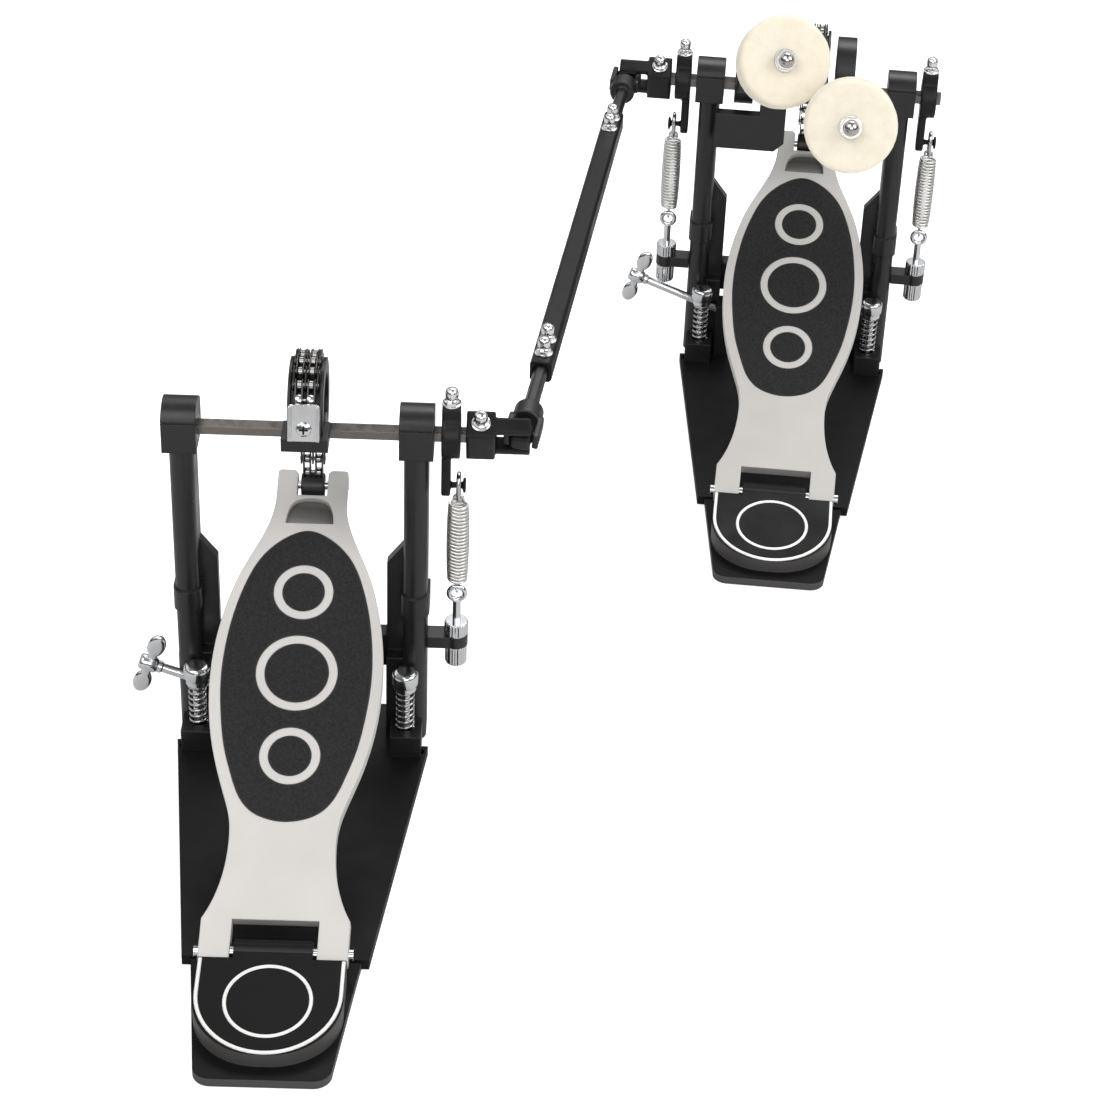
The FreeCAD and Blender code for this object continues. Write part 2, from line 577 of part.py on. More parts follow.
def axle_bore(name, x_from, x_to):
    return prism(name, HEX_SIDES, AXLE_CORNER + S.fit_gap, vec(x_from, 0, S.axle_height),
                 vec(x_to, 0, S.axle_height))


def clip_frame():
    """Middle of the clip plate's outer face, its long and outward directions, and its turn."""
    reach = S.clip_tall * HALF + S.link_radius - S.clip_lap
    clip_turn = math.radians((PEEL_LINKS + WRAP_LINKS) * LINK_TURN) + reach / S.chain_radius
    outward = vec(0, math.cos(clip_turn), math.sin(clip_turn))
    along = vec(0, math.sin(clip_turn), -math.cos(clip_turn))
    spot = vec(S.toe_shift, CAM_MIDDLE[0], CAM_MIDDLE[1]) + outward * (S.cam_radius + S.clip_out)
    return spot, along, outward, FreeCAD.Rotation(X_AXIS, along, outward, "XYZ")


# Cam: an eccentric ring with a hub on the axle, two flanges and a foot under the chain clip.
def cam(label, place):
    middle_y, middle_z = CAM_MIDDLE
    left = S.toe_shift - S.cam_wide * HALF
    right = S.toe_shift + S.cam_wide * HALF
    wheel = rod(label + "_wheel", "cam_radius", vec(left, middle_y, middle_z),
                vec(right, middle_y, middle_z))
    rims = [wheel]
    for word, x in (("left", left - S.flange_wide), ("right", right)):
        rims.append(rod(label + "_" + word + "_flange", "flange_radius", vec(x, middle_y, middle_z),
                        vec(x + S.flange_wide, middle_y, middle_z)))
    window = rod(label + "_window", "cam_hole", vec(left - S.cam_wide, middle_y, middle_z),
                 vec(right + S.cam_wide, middle_y, middle_z))
    ring = cut(label + "_ring", fuse(label + "_rims", rims), [window])
    hub = rod(label + "_hub", "cam_hub", vec(S.toe_shift - S.cam_hub_half, 0, S.axle_height),
              vec(S.toe_shift + S.cam_hub_half, 0, S.axle_height))
    foot_low = S.axle_height + S.cam_foot_low
    foot = block(label + "_foot", vec(S.toe_shift - S.cam_foot_wide * HALF, S.cam_foot_front, foot_low),
                 vec(S.toe_shift + S.cam_foot_wide * HALF, S.cam_foot_back, foot_low + S.cam_foot_tall))
    spot, along, outward, turn = clip_frame()
    seat = doc.addObject("Part::Box", label + "_seat")
    seat.Length = S.clip_wide
    seat.Width = S.clip_tall - 2 * S.link_radius
    seat.Height = S.clip_out
    corner = spot - X_AXIS * (S.clip_wide * HALF) - along * (S.clip_tall * HALF)
    seat.Placement = FreeCAD.Placement(corner - outward * (S.clip_thick + S.clip_out + S.fit_gap), turn)
    whole = fuse(label + "_whole", [ring, hub, foot, seat])
    bore = axle_bore(label + "_bore", left - S.cam_foot_wide, right + S.cam_foot_wide)
    node(label, [cut(label + "_cut", whole, [bore])], place)


def wheel_pin(step):
    """Place (y, z) of a chain pin on the cam, counted up from the back."""
    turn = math.radians(step * LINK_TURN)
    return (CAM_MIDDLE[0] + S.chain_radius * math.cos(turn), CAM_MIDDLE[1] + S.chain_radius * math.sin(turn))


def plate_shape(first, second, x):
    """One link plate with bevelled ends, in the plane across the pins."""
    along = vec(0, second[0] - first[0], second[1] - first[1])
    along.normalize()
    across = X_AXIS.cross(along)
    start = vec(x - S.link_thick * HALF, first[0], first[1])
    end = vec(x - S.link_thick * HALF, second[0], second[1])
    radius = S.link_radius
    slope = radius * math.tan(math.pi / FACET_SIDES)
    points = []
    for middle, way in ((end, 1), (start, -1)):
        points.append(middle + along * (way * slope) - across * (way * radius))
        points.append(middle + along * (way * radius) - across * (way * slope))
        points.append(middle + along * (way * radius) + across * (way * slope))
        points.append(middle + along * (way * slope) + across * (way * radius))
    face = Part.Face(Part.makePolygon(points + [points[0]]))
    return face.extrude(X_AXIS * S.link_thick)


def facet_bar(sides, radius, x_from, x_to, spot):
    points = []
    for index in range(sides):
        turn = 2 * math.pi * (index + HALF) / sides
        points.append(vec(x_from, spot[0] + radius * math.cos(turn), spot[1] + radius * math.sin(turn)))
    face = Part.Face(Part.makePolygon(points + [points[0]]))
    return face.extrude(X_AXIS * (x_to - x_from))


def chain_shapes(pins, first_inner, open_first, open_last):
    """Two-strand roller chain along pins; an open end has no pin of its own."""
    shapes = []
    middle = S.toe_shift
    count = len(pins)
    for index in range(count - 1):
        inner = first_inner if index % 2 == 0 else not first_inner
        at_open_end = (index == 0 and open_first) or (index == count - 2 and open_last)
        if inner:
            rows = (-S.inner_plate, -S.middle_plate, S.middle_plate, S.inner_plate)
        elif at_open_end:
            rows = (-S.outer_plate, S.outer_plate)
        else:
            rows = (-S.outer_plate, 0, S.outer_plate)
        for row in rows:
            shapes.append(plate_shape(pins[index], pins[index + 1], middle + row))
    for index, spot in enumerate(pins):
        if (index == 0 and open_first) or (index == count - 1 and open_last):
            continue
        for side in (-1, 1):
            ends = sorted((middle + side * S.middle_plate, middle + side * S.inner_plate))
            shapes.append(facet_bar(FACET_SIDES, S.roller_radius, ends[0], ends[1], spot))
        reach = S.outer_plate + S.link_thick
        at_end = index in (0, count - 1)
        half = S.inner_plate + S.link_thick * HALF if at_end else reach
        shapes.append(facet_bar(HEX_SIDES, S.link_pin, middle - half, middle + half, spot))
    return shapes[0].multiFuse(shapes[1:]).removeSplitter()


def chain(prefix, place):
    wrap_pins = [wheel_pin(PEEL_LINKS + step) for step in range(WRAP_LINKS + 1)]
    wrap = plain(prefix + "_chain_wrap_links", chain_shapes(wrap_pins, True, False, False))
    spot, along, outward, turn = clip_frame()
    clip = doc.addObject("Part::Box", prefix + "_chain_clip")
    bind(clip, Length="clip_wide", Width="clip_tall", Height="clip_thick")
    corner = spot - X_AXIS * (S.clip_wide * HALF) - along * (S.clip_tall * HALF) - outward * S.clip_thick
    clip.Placement = FreeCAD.Placement(corner, turn)
    screw_spot = spot - along * S.clip_screw_drop
    screw = rod(prefix + "_clip_screw", "clip_screw", screw_spot, screw_spot + outward * S.clip_screw_tall)
    node(prefix + "_chain_wrap", [wrap, clip, screw], place)
    peel_pins = [wheel_pin(step) for step in range(PEEL_LINKS, -1, -1)]
    peel = plain(prefix + "_peel_links", chain_shapes(peel_pins, False, True, True))
    node(prefix + "_chain_peel", [peel], place)
    top = wheel_pin(0)
    toe = (S.toe_y, TOE_Z)
    gap = math.hypot(toe[0] - top[0], toe[1] - top[1])
    step = ((toe[0] - top[0]) / gap * S.chain_pitch, (toe[1] - top[1]) / gap * S.chain_pitch)
    run_pins = [(top[0] + step[0] * index, top[1] + step[1] * index) for index in range(RUN_LINKS + 1)]
    links = plain(prefix + "_run_links", chain_shapes(run_pins, True, False, False))
    barrel = rod(prefix + "_barrel", "barrel_radius", vec(S.toe_shift - S.barrel_half, toe[0], toe[1]),
                 vec(S.toe_shift + S.barrel_half, toe[0], toe[1]))
    bore = prism(prefix + "_barrel_bore", ROUND_SIDES, S.toe_pin_radius + S.pin_slack,
                 vec(S.toe_shift - S.leaf_half, toe[0], toe[1]),
                 vec(S.toe_shift + S.leaf_half, toe[0], toe[1]))
    whole = cut(prefix + "_run_cut", fuse(prefix + "_run_whole", [links, barrel]), [bore])
    node(prefix + "_chain_run", [whole], place)


# Square-headed key bolt standing on a face.
def key_bolt(name, spot, out, sink):
    shank = rod(name + "_shank", "key_shank", spot - out * sink, spot + out * S.key_collar_tall)
    collar = prism(name + "_collar", HEX_SIDES, S.key_collar, spot, spot + out * S.key_collar_tall)
    head = prism(name + "_head", 4, S.key_square * math.sqrt(HALF), spot + out * S.key_collar_tall,
                 spot + out * S.key_tall)
    return fuse(name, [shank, collar, head])


def bolt_bore(name, spot, out):
    return prism(name, ROUND_SIDES, S.key_shank + 2 * S.fit_gap, spot - out * (S.key_sink + S.side_gap),
                 spot + out * S.key_sink)


# Rocker: clamp hub with a boss for its bolt, and an arm with the spring stud.
def rocker(label, side, place):
    def at(x, y, z):
        return vec(side * x, y, z)

    def span(name, x0, x1, y0, y1, z0, z1):
        ends = sorted((side * x0, side * x1))
        return block(name, vec(ends[0], y0, z0), vec(ends[1], y1, z1))
    inner = S.rocker_inner
    outer = S.rocker_inner + S.rocker_wide
    z = S.axle_height
    hub = rod(label + "_hub", "rocker_radius", at(inner, 0, z), at(outer, 0, z))
    boss = span(label + "_boss", inner, outer, -S.rocker_boss_half, S.rocker_boss_half, z, z + S.rocker_top)
    arm_outer = inner + S.rocker_wide * HALF
    arm = span(label + "_arm", inner, arm_outer, -S.rocker_arm_half, S.rocker_arm_half, STUD_Z, z)
    arm_end = rod(label + "_arm_end", "rocker_arm_half", at(inner, 0, STUD_Z), at(arm_outer, 0, STUD_Z))
    stud_end = arm_outer + S.stud_reach
    stud = rod(label + "_stud", "stud_radius", at(inner, 0, STUD_Z), at(stud_end, 0, STUD_Z))
    cap = rod(label + "_cap", "stud_head", at(stud_end, 0, STUD_Z),
              at(stud_end + S.stud_head_tall, 0, STUD_Z))
    whole = fuse(label + "_whole", [hub, boss, arm, arm_end, stud, cap])
    top = at(inner + S.rocker_wide * HALF, 0, z + S.rocker_top)
    bore = axle_bore(label + "_bore", min(side * inner, side * outer) - S.rocker_wide,
                     max(side * inner, side * outer) + S.rocker_wide)
    node(label, [cut(label + "_cut", whole, [bore, bolt_bore(label + "_bolt_bore", top, Z_AXIS)])], place)
    return key_bolt(label + "_key_bolt", top, Z_AXIS, S.key_sink)


def cross_axes(shaft_way):
    """Directions of the upright pin and of the level pin of a joint cross, in a pedal's own frame."""
    pin_way = FreeCAD.Rotation(X_AXIS, S.yoke_tilt).multVec(Z_AXIS)
    level_way = shaft_way.cross(pin_way)
    level_way.normalize()
    return pin_way, level_way


# Joint yoke: bar on the axle end, two ears and the cross that sits between them.
def yoke(label, side, place, shaft_way):
    tilt = FreeCAD.Placement(vec(0, 0, S.axle_height), FreeCAD.Rotation(X_AXIS, S.yoke_tilt))

    def span(name, x0, x1, y, z0, z1):
        ends = sorted((side * x0, side * x1))
        return block(name, vec(ends[0], -y, z0), vec(ends[1], y, z1))
    outer = S.ear_inner + S.ear_thick
    bar = span(label + "_bar", S.yoke_start, S.yoke_bar_end, S.yoke_half, -outer, outer)
    ear_end = S.joint_x + S.ear_half
    upper = span(label + "_upper_ear", S.yoke_bar_end, ear_end, S.ear_half, S.ear_inner, outer)
    lower = span(label + "_lower_ear", S.yoke_bar_end, ear_end, S.ear_half, -outer, -S.ear_inner)
    whole = fuse(label + "_whole", [bar, upper, lower])
    x = side * S.joint_x
    pin_bore = prism(label + "_pin_bore", ROUND_SIDES, S.cross_pin + 2 * S.fit_gap, vec(x, 0, -2 * outer),
                     vec(x, 0, 2 * outer))
    ends = sorted((side * (S.yoke_start - S.overrun), side * (S.yoke_bar_end + S.overrun)))
    hole = prism(label + "_hole", HEX_SIDES, AXLE_CORNER + S.fit_gap, vec(ends[0], 0, 0), vec(ends[1], 0, 0))
    untilted = FreeCAD.Placement(vec(0, 0, 0), FreeCAD.Rotation(Z_AXIS, -S.yoke_tilt))
    hole.Placement = hole.Placement.multiply(untilted)
    top = vec(side * (S.yoke_start + S.yoke_bar_end) * HALF, 0, outer)
    body = cut(label + "_cut", whole, [pin_bore, hole, bolt_bore(label + "_bolt_bore", top, Z_AXIS)])
    cube = block(label + "_cube", vec(-S.cross_half, -S.cross_half, -S.cross_half),
                 vec(S.cross_half, S.cross_half, S.cross_half))
    upright_pin = rod(label + "_upright_pin", "cross_pin", vec(0, 0, -outer), vec(0, 0, outer))
    reach = S.fork_inner + S.fork_thick
    level_pin = rod(label + "_level_pin", "cross_pin", vec(-reach, 0, 0), vec(reach, 0, 0))
    cross = fuse(label + "_cross", [cube, upright_pin, level_pin])
    body.Placement = tilt.multiply(body.Placement)
    pin_way, level_way = cross_axes(shaft_way)
    cross_turn = FreeCAD.Rotation(level_way, pin_way.cross(level_way), pin_way, "XYZ")
    cross.Placement = FreeCAD.Placement(vec(x, 0, S.axle_height), cross_turn)
    node(label, [body, cross], place)
    bolt = key_bolt(label + "_key_bolt", top, Z_AXIS, S.key_sink)
    bolt.Placement = tilt.multiply(bolt.Placement)
    return bolt


# Beater: hub on the axle, straight rod, felt head on the rod's end, nuts on the outer face.
def beater_way(prefix):
    """Direction of a beater rod from its hub."""
    tilt = math.radians(getattr(S, prefix + "_beater_tilt"))
    lean = math.radians(getattr(S, prefix + "_beater_lean"))
    return vec(math.sin(lean), -math.cos(tilt) * math.cos(lean), math.sin(tilt) * math.cos(lean))


def beater(prefix, hub_x, arch, place):
    along = beater_way(prefix)
    middle = vec(hub_x, 0, S.axle_height)
    half = S.hub_wide * HALF
    hub = rod(prefix + "_hub_round", "hub_radius", vec(hub_x - half, 0, S.axle_height),
              vec(hub_x + half, 0, S.axle_height))
    across = along.cross(X_AXIS)
    across.normalize()
    level = across.cross(along)
    turn = FreeCAD.Rotation(level, across, along, "XYZ")
    neck = doc.addObject("Part::Box", prefix + "_neck")
    bind(neck, Length="hub_wide", Height="hub_reach")
    neck.Width = 2 * S.hub_neck
    neck.Placement = FreeCAD.Placement(middle - level * half - across * S.hub_neck, turn)
    bore = axle_bore(prefix + "_bore", hub_x - S.hub_wide, hub_x + S.hub_wide)
    felt_back = getattr(S, prefix + "_felt_back")
    bar_bore = prism(prefix + "_bar_bore", ROUND_SIDES, S.rod_radius + 2 * S.fit_gap,
                     middle + along * AXLE_CORNER, middle + along * felt_back)
    pieces = [hub, neck]
    if arch:
        left = vec(hub_x - half, CAM_MIDDLE[0], CAM_MIDDLE[1])
        right = vec(hub_x + half, CAM_MIDDLE[0], CAM_MIDDLE[1])
        hoop = rod(prefix + "_hoop", "cam_radius", left, right)
        room = rod(prefix + "_hoop_room", "cam_hole", left - X_AXIS * half, right + X_AXIS * half)
        pieces.append(cut(prefix + "_arch", hoop, [room]))
    whole = cut(prefix + "_hub_cut", fuse(prefix + "_hub_whole", pieces), [bore, bar_bore])
    node(prefix + "_beater_hub", [whole], place)
    start = middle + along * (AXLE_CORNER + S.swing_gap)
    face = middle + along * (felt_back + S.felt_thick)
    bar = rod(prefix + "_bar", "rod_radius", start, face)
    back = middle + along * felt_back
    washers = []
    for spot, way in ((back, -1), (face, 1)):
        low = spot if way > 0 else spot - along * S.washer_thick
        washers.append(rod(prefix + "_washer%d" % way, "washer_radius", low, low + along * S.washer_thick))
    nut_start = face + along * S.washer_thick
    nut = prism(prefix + "_nut", HEX_SIDES, S.hex_nut, nut_start, nut_start + along * S.hex_nut_tall)
    dome = doc.addObject("Part::Sphere", prefix + "_dome")
    bind(dome, Radius="dome_radius")
    dome.Placement = FreeCAD.Placement(nut_start + along * S.hex_nut_tall, FreeCAD.Rotation())
    node(prefix + "_beater_rod", [fuse(prefix + "_rod_whole", [bar, nut, dome] + washers)], place)
    body = new_body(prefix + "_felt_body")
    sketch = new_sketch(body, prefix + "_felt_sketch", "XZ_Plane", 0)
    edge = S.felt_edge
    bend = edge * (1 - math.sqrt(HALF))
    inner = S.rod_radius + 2 * S.fit_gap
    outer = S.felt_radius
    outline = [(inner, 0), (outer - edge, 0), ("arc", (outer - bend, bend), (outer, edge)),
               (outer, S.felt_thick - edge),
               ("arc", (outer - bend, S.felt_thick - bend), (outer - edge, S.felt_thick)),
               (inner, S.felt_thick)]
    draw(sketch, outline)
    doc.recompute()
    spin = body.newObject("PartDesign::Revolution", prefix + "_felt_spin")
    spin.Profile = sketch
    spin.ReferenceAxis = (sketch, ["V_Axis"])
    spin.Angle = 360
    doc.recompute()
    body.Tip = spin
    body.Placement = turned(back, along)
    node(prefix + "_beater_felt", [body], place)


# Wound wire: one unbroken tube along a helix made of short arcs.
def wound(name, radii, low, curls, rise, wire):
    """Coil about +Z; radii is a function of the share of the height."""
    steps = int(curls * QUARTERS)
    edges = []

    def spot(share_of_turns):
        turn = 2 * math.pi * curls * share_of_turns
        radius = radii(share_of_turns)
        return vec(radius * math.cos(turn), radius * math.sin(turn), low + rise * share_of_turns)
    for index in range(steps):
        a = spot(index / steps)
        b = spot((index + HALF) / steps)
        c = spot((index + 1) / steps)
        edges.append(Part.Arc(a, b, c).toShape())
    path = Part.Wire(edges)
    ring = Part.Wire([Part.makeCircle(wire, spot(0), edges[0].tangentAt(edges[0].FirstParameter))])
    return path.makePipeShell([ring], True, False)


def tube_along(points, wire):
    """One unbroken round tube through closely set points."""
    edges = []
    for index in range(0, len(points) - 2, 2):
        edges.append(Part.Arc(points[index], points[index + 1], points[index + 2]).toShape())
    path = Part.Wire(edges)
    ring = Part.Wire([Part.makeCircle(wire, points[0], edges[0].tangentAt(edges[0].FirstParameter))])
    return path.makePipeShell([ring], True, False)


# Tension spring: hook round the eye, barrel-shaped coil, hook round the link above, in one wire.
def tension_spring_points():
    """Middle line of one spring about its own upright axis."""
    points = []
    low_wire = S.eye_z + S.eye_ring
    hook = S.loop_radius
    for index in range(BEND_STEPS + 1):
        turn = math.pi * index / BEND_STEPS
        points.append(vec(0, -hook * math.cos(turn), low_wire - hook * math.sin(turn)))
    start_turn = math.radians(S.coil_start_turn)
    curls = S.coil_curls
    steps = int(curls * BEND_STEPS)
    rise = COIL_TOP - COIL_LOW

    def belly(share):
        return S.coil_end + (S.coil_belly - S.coil_end) * math.sin(math.pi * share) ** S.barrel_share
    first = vec(S.coil_end * math.cos(start_turn), S.coil_end * math.sin(start_turn), COIL_LOW)
    last_up = points[-1] + Z_AXIS * (COIL_LOW - low_wire) * HALF
    points.append(last_up)
    quarter = first.x * HALF * HALF
    points.append(vec(quarter, (first.y + last_up.y) * HALF + quarter, COIL_LOW - S.coil_wire))
    points.append(first)
    for index in range(1, steps + 1):
        share = index / steps
        turn = start_turn - 2 * math.pi * curls * share
        radius = belly(share)
        points.append(vec(radius * math.cos(turn), radius * math.sin(turn), COIL_LOW + rise * share))
    top = points[-1]
    end_turn = -2 * math.pi * curls
    aim = vec(math.cos(end_turn), math.sin(end_turn), 0)
    side = aim * hook
    up = vec(side.x, side.y, HOOK_LOW)
    middle = (top + up) * HALF + aim * S.coil_wire * HALF
    points.append(vec(middle.x, middle.y, top.z + S.coil_wire))
    points.append(vec(side.x, side.y, (top.z + S.coil_wire + HOOK_LOW) * HALF))
    for index in range(1, BEND_STEPS + 1):
        turn = math.pi * index / BEND_STEPS
        points.append(side * math.cos(turn) + Z_AXIS * (HOOK_LOW + hook * math.sin(turn)))
    if len(points) % 2 == 0:
        points.append(points[-1] - Z_AXIS * S.coil_wire)
    return points


def least_gap(points, wire, apart):
    """Smallest clear space between stretches of one wire that are not neighbours."""
    best = None
    for index, spot in enumerate(points):
        for other in points[index + apart:]:
            gap = (spot - other).Length - 2 * wire
            if best is None or gap < best:
                best = gap
    return best


def tension_spring(label, side, place):
    points = tension_spring_points()
    coil = plain(label + "_coil", tube_along(points, S.coil_wire))
    coil.Placement = FreeCAD.Placement(vec(side * S.eye_x, 0, 0), FreeCAD.Rotation())
    node(label, [coil], place)
    print(label, "least self gap", round(least_gap(points, S.coil_wire, BEND_STEPS - 3), 2))
    inner = S.hook_inner + S.hook_wire
    top = STUD_Z + S.stud_radius + S.hook_above + S.hook_wire - inner
    low = HOOK_LOW + inner
    left = vec(0, -inner, low)
    arcs = [Part.Arc(vec(0, inner, low), vec(0, 0, low - inner), left).toShape(),
            Part.LineSegment(left, vec(0, -inner, top)).toShape(),
            Part.Arc(vec(0, -inner, top), vec(0, 0, top + inner), vec(0, inner, top)).toShape(),
            Part.LineSegment(vec(0, inner, top), vec(0, inner, low)).toShape()]
    ring = Part.Wire([Part.makeCircle(S.hook_wire, left, Z_AXIS)])
    loop = Part.Wire([arcs[1], arcs[2], arcs[3], arcs[0]])
    link = plain(label + "_link", loop.makePipeShell([ring], True, False))
    link.Placement = FreeCAD.Placement(vec(side * S.eye_x, 0, 0), FreeCAD.Rotation())
    node(label.replace("spring", "hook"), [link], place)


# Spring arm on the upright, with eye bolt and its two nuts.
def spring_holder(name, side, place):
    x = side * S.eye_x
    arm_top = S.arm_low + S.arm_tall
    ends = sorted((side * S.arm_inner, x))
    bar = block(name + "_arm_bar", vec(ends[0], -S.arm_deep * HALF, S.arm_low),
                vec(ends[1], S.arm_deep * HALF, arm_top))
    round_end = rod(name + "_arm_end", "arm_round", vec(x, 0, S.arm_low), vec(x, 0, arm_top))
    arm = fuse(name + "_arm", [bar, round_end])
    bore = prism(name + "_arm_bore", ROUND_SIDES, S.eye_bolt_radius + 2 * S.fit_gap, vec(x, 0, 0),
                 vec(x, 0, S.axle_height))
    post_face = S.post_middle + S.post_wide * HALF + S.fit_gap
    ends = sorted((0, side * post_face))
    post_room = block(name + "_room", vec(ends[0], -S.post_deep, 0),
                      vec(ends[1], S.post_deep, S.axle_height))
    arm_piece = cut(name + "_arm_piece", arm, [bore, post_room])
    shank = rod(name + "_shank", "eye_bolt_radius", vec(x, 0, S.eye_bolt_low),
                vec(x, 0, S.eye_z - S.eye_ring))
    eye = doc.addObject("Part::Torus", name + "_eye")
    bind(eye, Radius1="eye_ring", Radius2="eye_wire")
    eye.Placement = turned(vec(x, 0, S.eye_z), Y_AXIS)
    bolt = fuse(name + "_bolt", [shank, eye])
    pieces = []
    for word, sides, radius, low, high in (
            ("knurl", 3 * HEX_SIDES, S.knurl_radius, arm_top, arm_top + S.knurl_tall),
            ("nut", HEX_SIDES, S.nut_radius, S.arm_low - S.nut_tall, S.arm_low)):
        ring = prism(name + "_" + word, sides, radius, vec(x, 0, low), vec(x, 0, high))
        hole = prism(name + "_" + word + "_hole", ROUND_SIDES, S.eye_bolt_radius + 2 * S.fit_gap,
                     vec(x, 0, 0), vec(x, 0, S.axle_height))
        pieces.append(cut(name + "_" + word + "_cut", ring, [hole]))
    for thing in [arm_piece, bolt] + pieces:
        thing.Placement = place.multiply(thing.Placement)
    return arm_piece, bolt, pieces


def bearing(name, x_from, x_to, place):
    ring = prism(name + "_ring", ROUND_SIDES, S.bearing_radius, vec(x_from, 0, S.axle_height),
                 vec(x_to, 0, S.axle_height))
    hole = prism(name + "_hole", ROUND_SIDES, AXLE_CORNER + 2 * S.fit_gap,
                 vec(x_from - S.overrun, 0, S.axle_height), vec(x_to + S.overrun, 0, S.axle_height))
    thing = cut(name + "_cut", ring, [hole])
    thing.Placement = place.multiply(thing.Placement)
    return thing


# Floor spur: threaded pin with a cupped head; its spring sits between the foot boss and the head.
def spur(name, side):
    x = side * S.spur_x
    shank = rod(name + "_shank", "spur_radius", vec(x, S.spur_y, S.spur_tip + S.spur_cup),
                vec(x, S.spur_y, S.spur_head_low))
    point = doc.addObject("Part::Cone", name + "_point")
    bind(point, Radius2="spur_radius", Height="spur_cup")
    point.Radius1 = S.spur_wire
    point.Placement = FreeCAD.Placement(vec(x, S.spur_y, S.spur_tip), FreeCAD.Rotation())
    head = rod(name + "_head", "spur_head_radius", vec(x, S.spur_y, S.spur_head_low),
               vec(x, S.spur_y, S.spur_head_low + S.spur_head_tall))
    cup = rod(name + "_cup", "spur_coil_radius", vec(x, S.spur_y, S.spur_head_low + S.spur_head_tall * HALF),
              vec(x, S.spur_y, S.spur_head_low + 2 * S.spur_head_tall))
    return cut(name + "_cut", fuse(name + "_whole", [shank, point, head]), [cup])


def spur_spring(name, side, place):
    low = S.spur_coil_low + S.spur_wire
    rise = S.spur_coil_top - S.spur_wire - low
    coil = plain(name, wound(name, lambda share: S.spur_coil_radius, low, S.spur_curls, rise, S.spur_wire))
    coil.Placement = place.multiply(FreeCAD.Placement(vec(side * S.spur_x, S.spur_y, 0), FreeCAD.Rotation()))
    return coil


# Wing screw of the hoop clamp, sloping through the left upright.
def wing_screw(label, out, place):
    slope = math.radians(S.wing_slope)
    along = vec(math.cos(slope), 0, -math.sin(slope))
    across = vec(math.sin(slope), 0, math.cos(slope))
    middle = vec(S.wing_rod_x, S.wing_rod_y, S.wing_rod_z)
    outer = middle - along * out
    inner = middle + along * S.wing_inner
    bar = rod(label + "_bar", "wing_rod", outer, inner)
    hub = rod(label + "_hub", "wing_hub", outer - along * S.wing_hub_long, outer)
    pieces = [bar, hub]
    turn = FreeCAD.Rotation(along, Y_AXIS, across, "XYZ")
    for way in (-1, 1):
        tip = outer - along * (S.wing_hub_long * HALF) + across * (way * S.wing_reach)
        pieces.append(rod(label + "_tip%d" % way, "wing_tip", tip - Y_AXIS * (S.wing_thick * HALF),
                          tip + Y_AXIS * (S.wing_thick * HALF)))
    blade = doc.addObject("Part::Box", label + "_blade")
    bind(blade, Length="wing_hub_long", Width="wing_thick")
    blade.Height = 2 * S.wing_reach
    blade.Placement = FreeCAD.Placement(outer - along * S.wing_hub_long - across * S.wing_reach
                                        - Y_AXIS * (S.wing_thick * HALF), turn)
    pieces.append(blade)
    node(label, [fuse(label + "_whole", pieces)], place)


# Bridge between the uprights, with the lugs of the hoop jaw.
def bridge(name, lugs, place):
    body = block(name + "_beam", vec(-S.fin_inner, S.bridge_front, S.bridge_low),
                 vec(S.fin_inner, S.bridge_back, S.bridge_low + S.bridge_tall))
    pieces = [body]
    if lugs:
        for side in (-1, 1):
            ends = sorted((side * S.jaw_lug, side * (S.jaw_lug + S.jaw_lug_wide)))
            low = vec(ends[0], S.bridge_front, S.jaw_pivot_z - S.jaw_eye)
            high = vec(ends[1], S.jaw_pivot_y + S.jaw_eye, S.bridge_low + S.jaw_eye)
            pieces.append(block(name + "_lug%d" % side, low, high))
        pieces.append(rod(name + "_pin", "jaw_pin", vec(-S.jaw_lug, S.jaw_pivot_y, S.jaw_pivot_z),
                          vec(S.jaw_lug, S.jaw_pivot_y, S.jaw_pivot_z)))
    thing = fuse(name + "_whole", pieces)
    thing.Placement = place.multiply(thing.Placement)
    return thing


def hoop_jaw(label, place):
    y, z = S.jaw_pivot_y, S.jaw_pivot_z
    eye = rod(label + "_eye", "jaw_eye", vec(-S.jaw_half, y, z), vec(S.jaw_half, y, z))
    top = z + S.jaw_thick * HALF
    beam = block(label + "_beam", vec(-S.jaw_half, y, top - S.jaw_thick), vec(S.jaw_half, S.jaw_reach, top))
    nose = block(label + "_nose", vec(-S.jaw_half, S.jaw_reach - S.jaw_nose, S.jaw_low),
                 vec(S.jaw_half, S.jaw_reach, top))
    bore = prism(label + "_bore", ROUND_SIDES, S.jaw_pin + 2 * S.fit_gap, vec(-2 * S.jaw_half, y, z),
                 vec(2 * S.jaw_half, y, z))
    node(label, [cut(label + "_cut", fuse(label + "_whole", [eye, beam, nose]), [bore])], place)


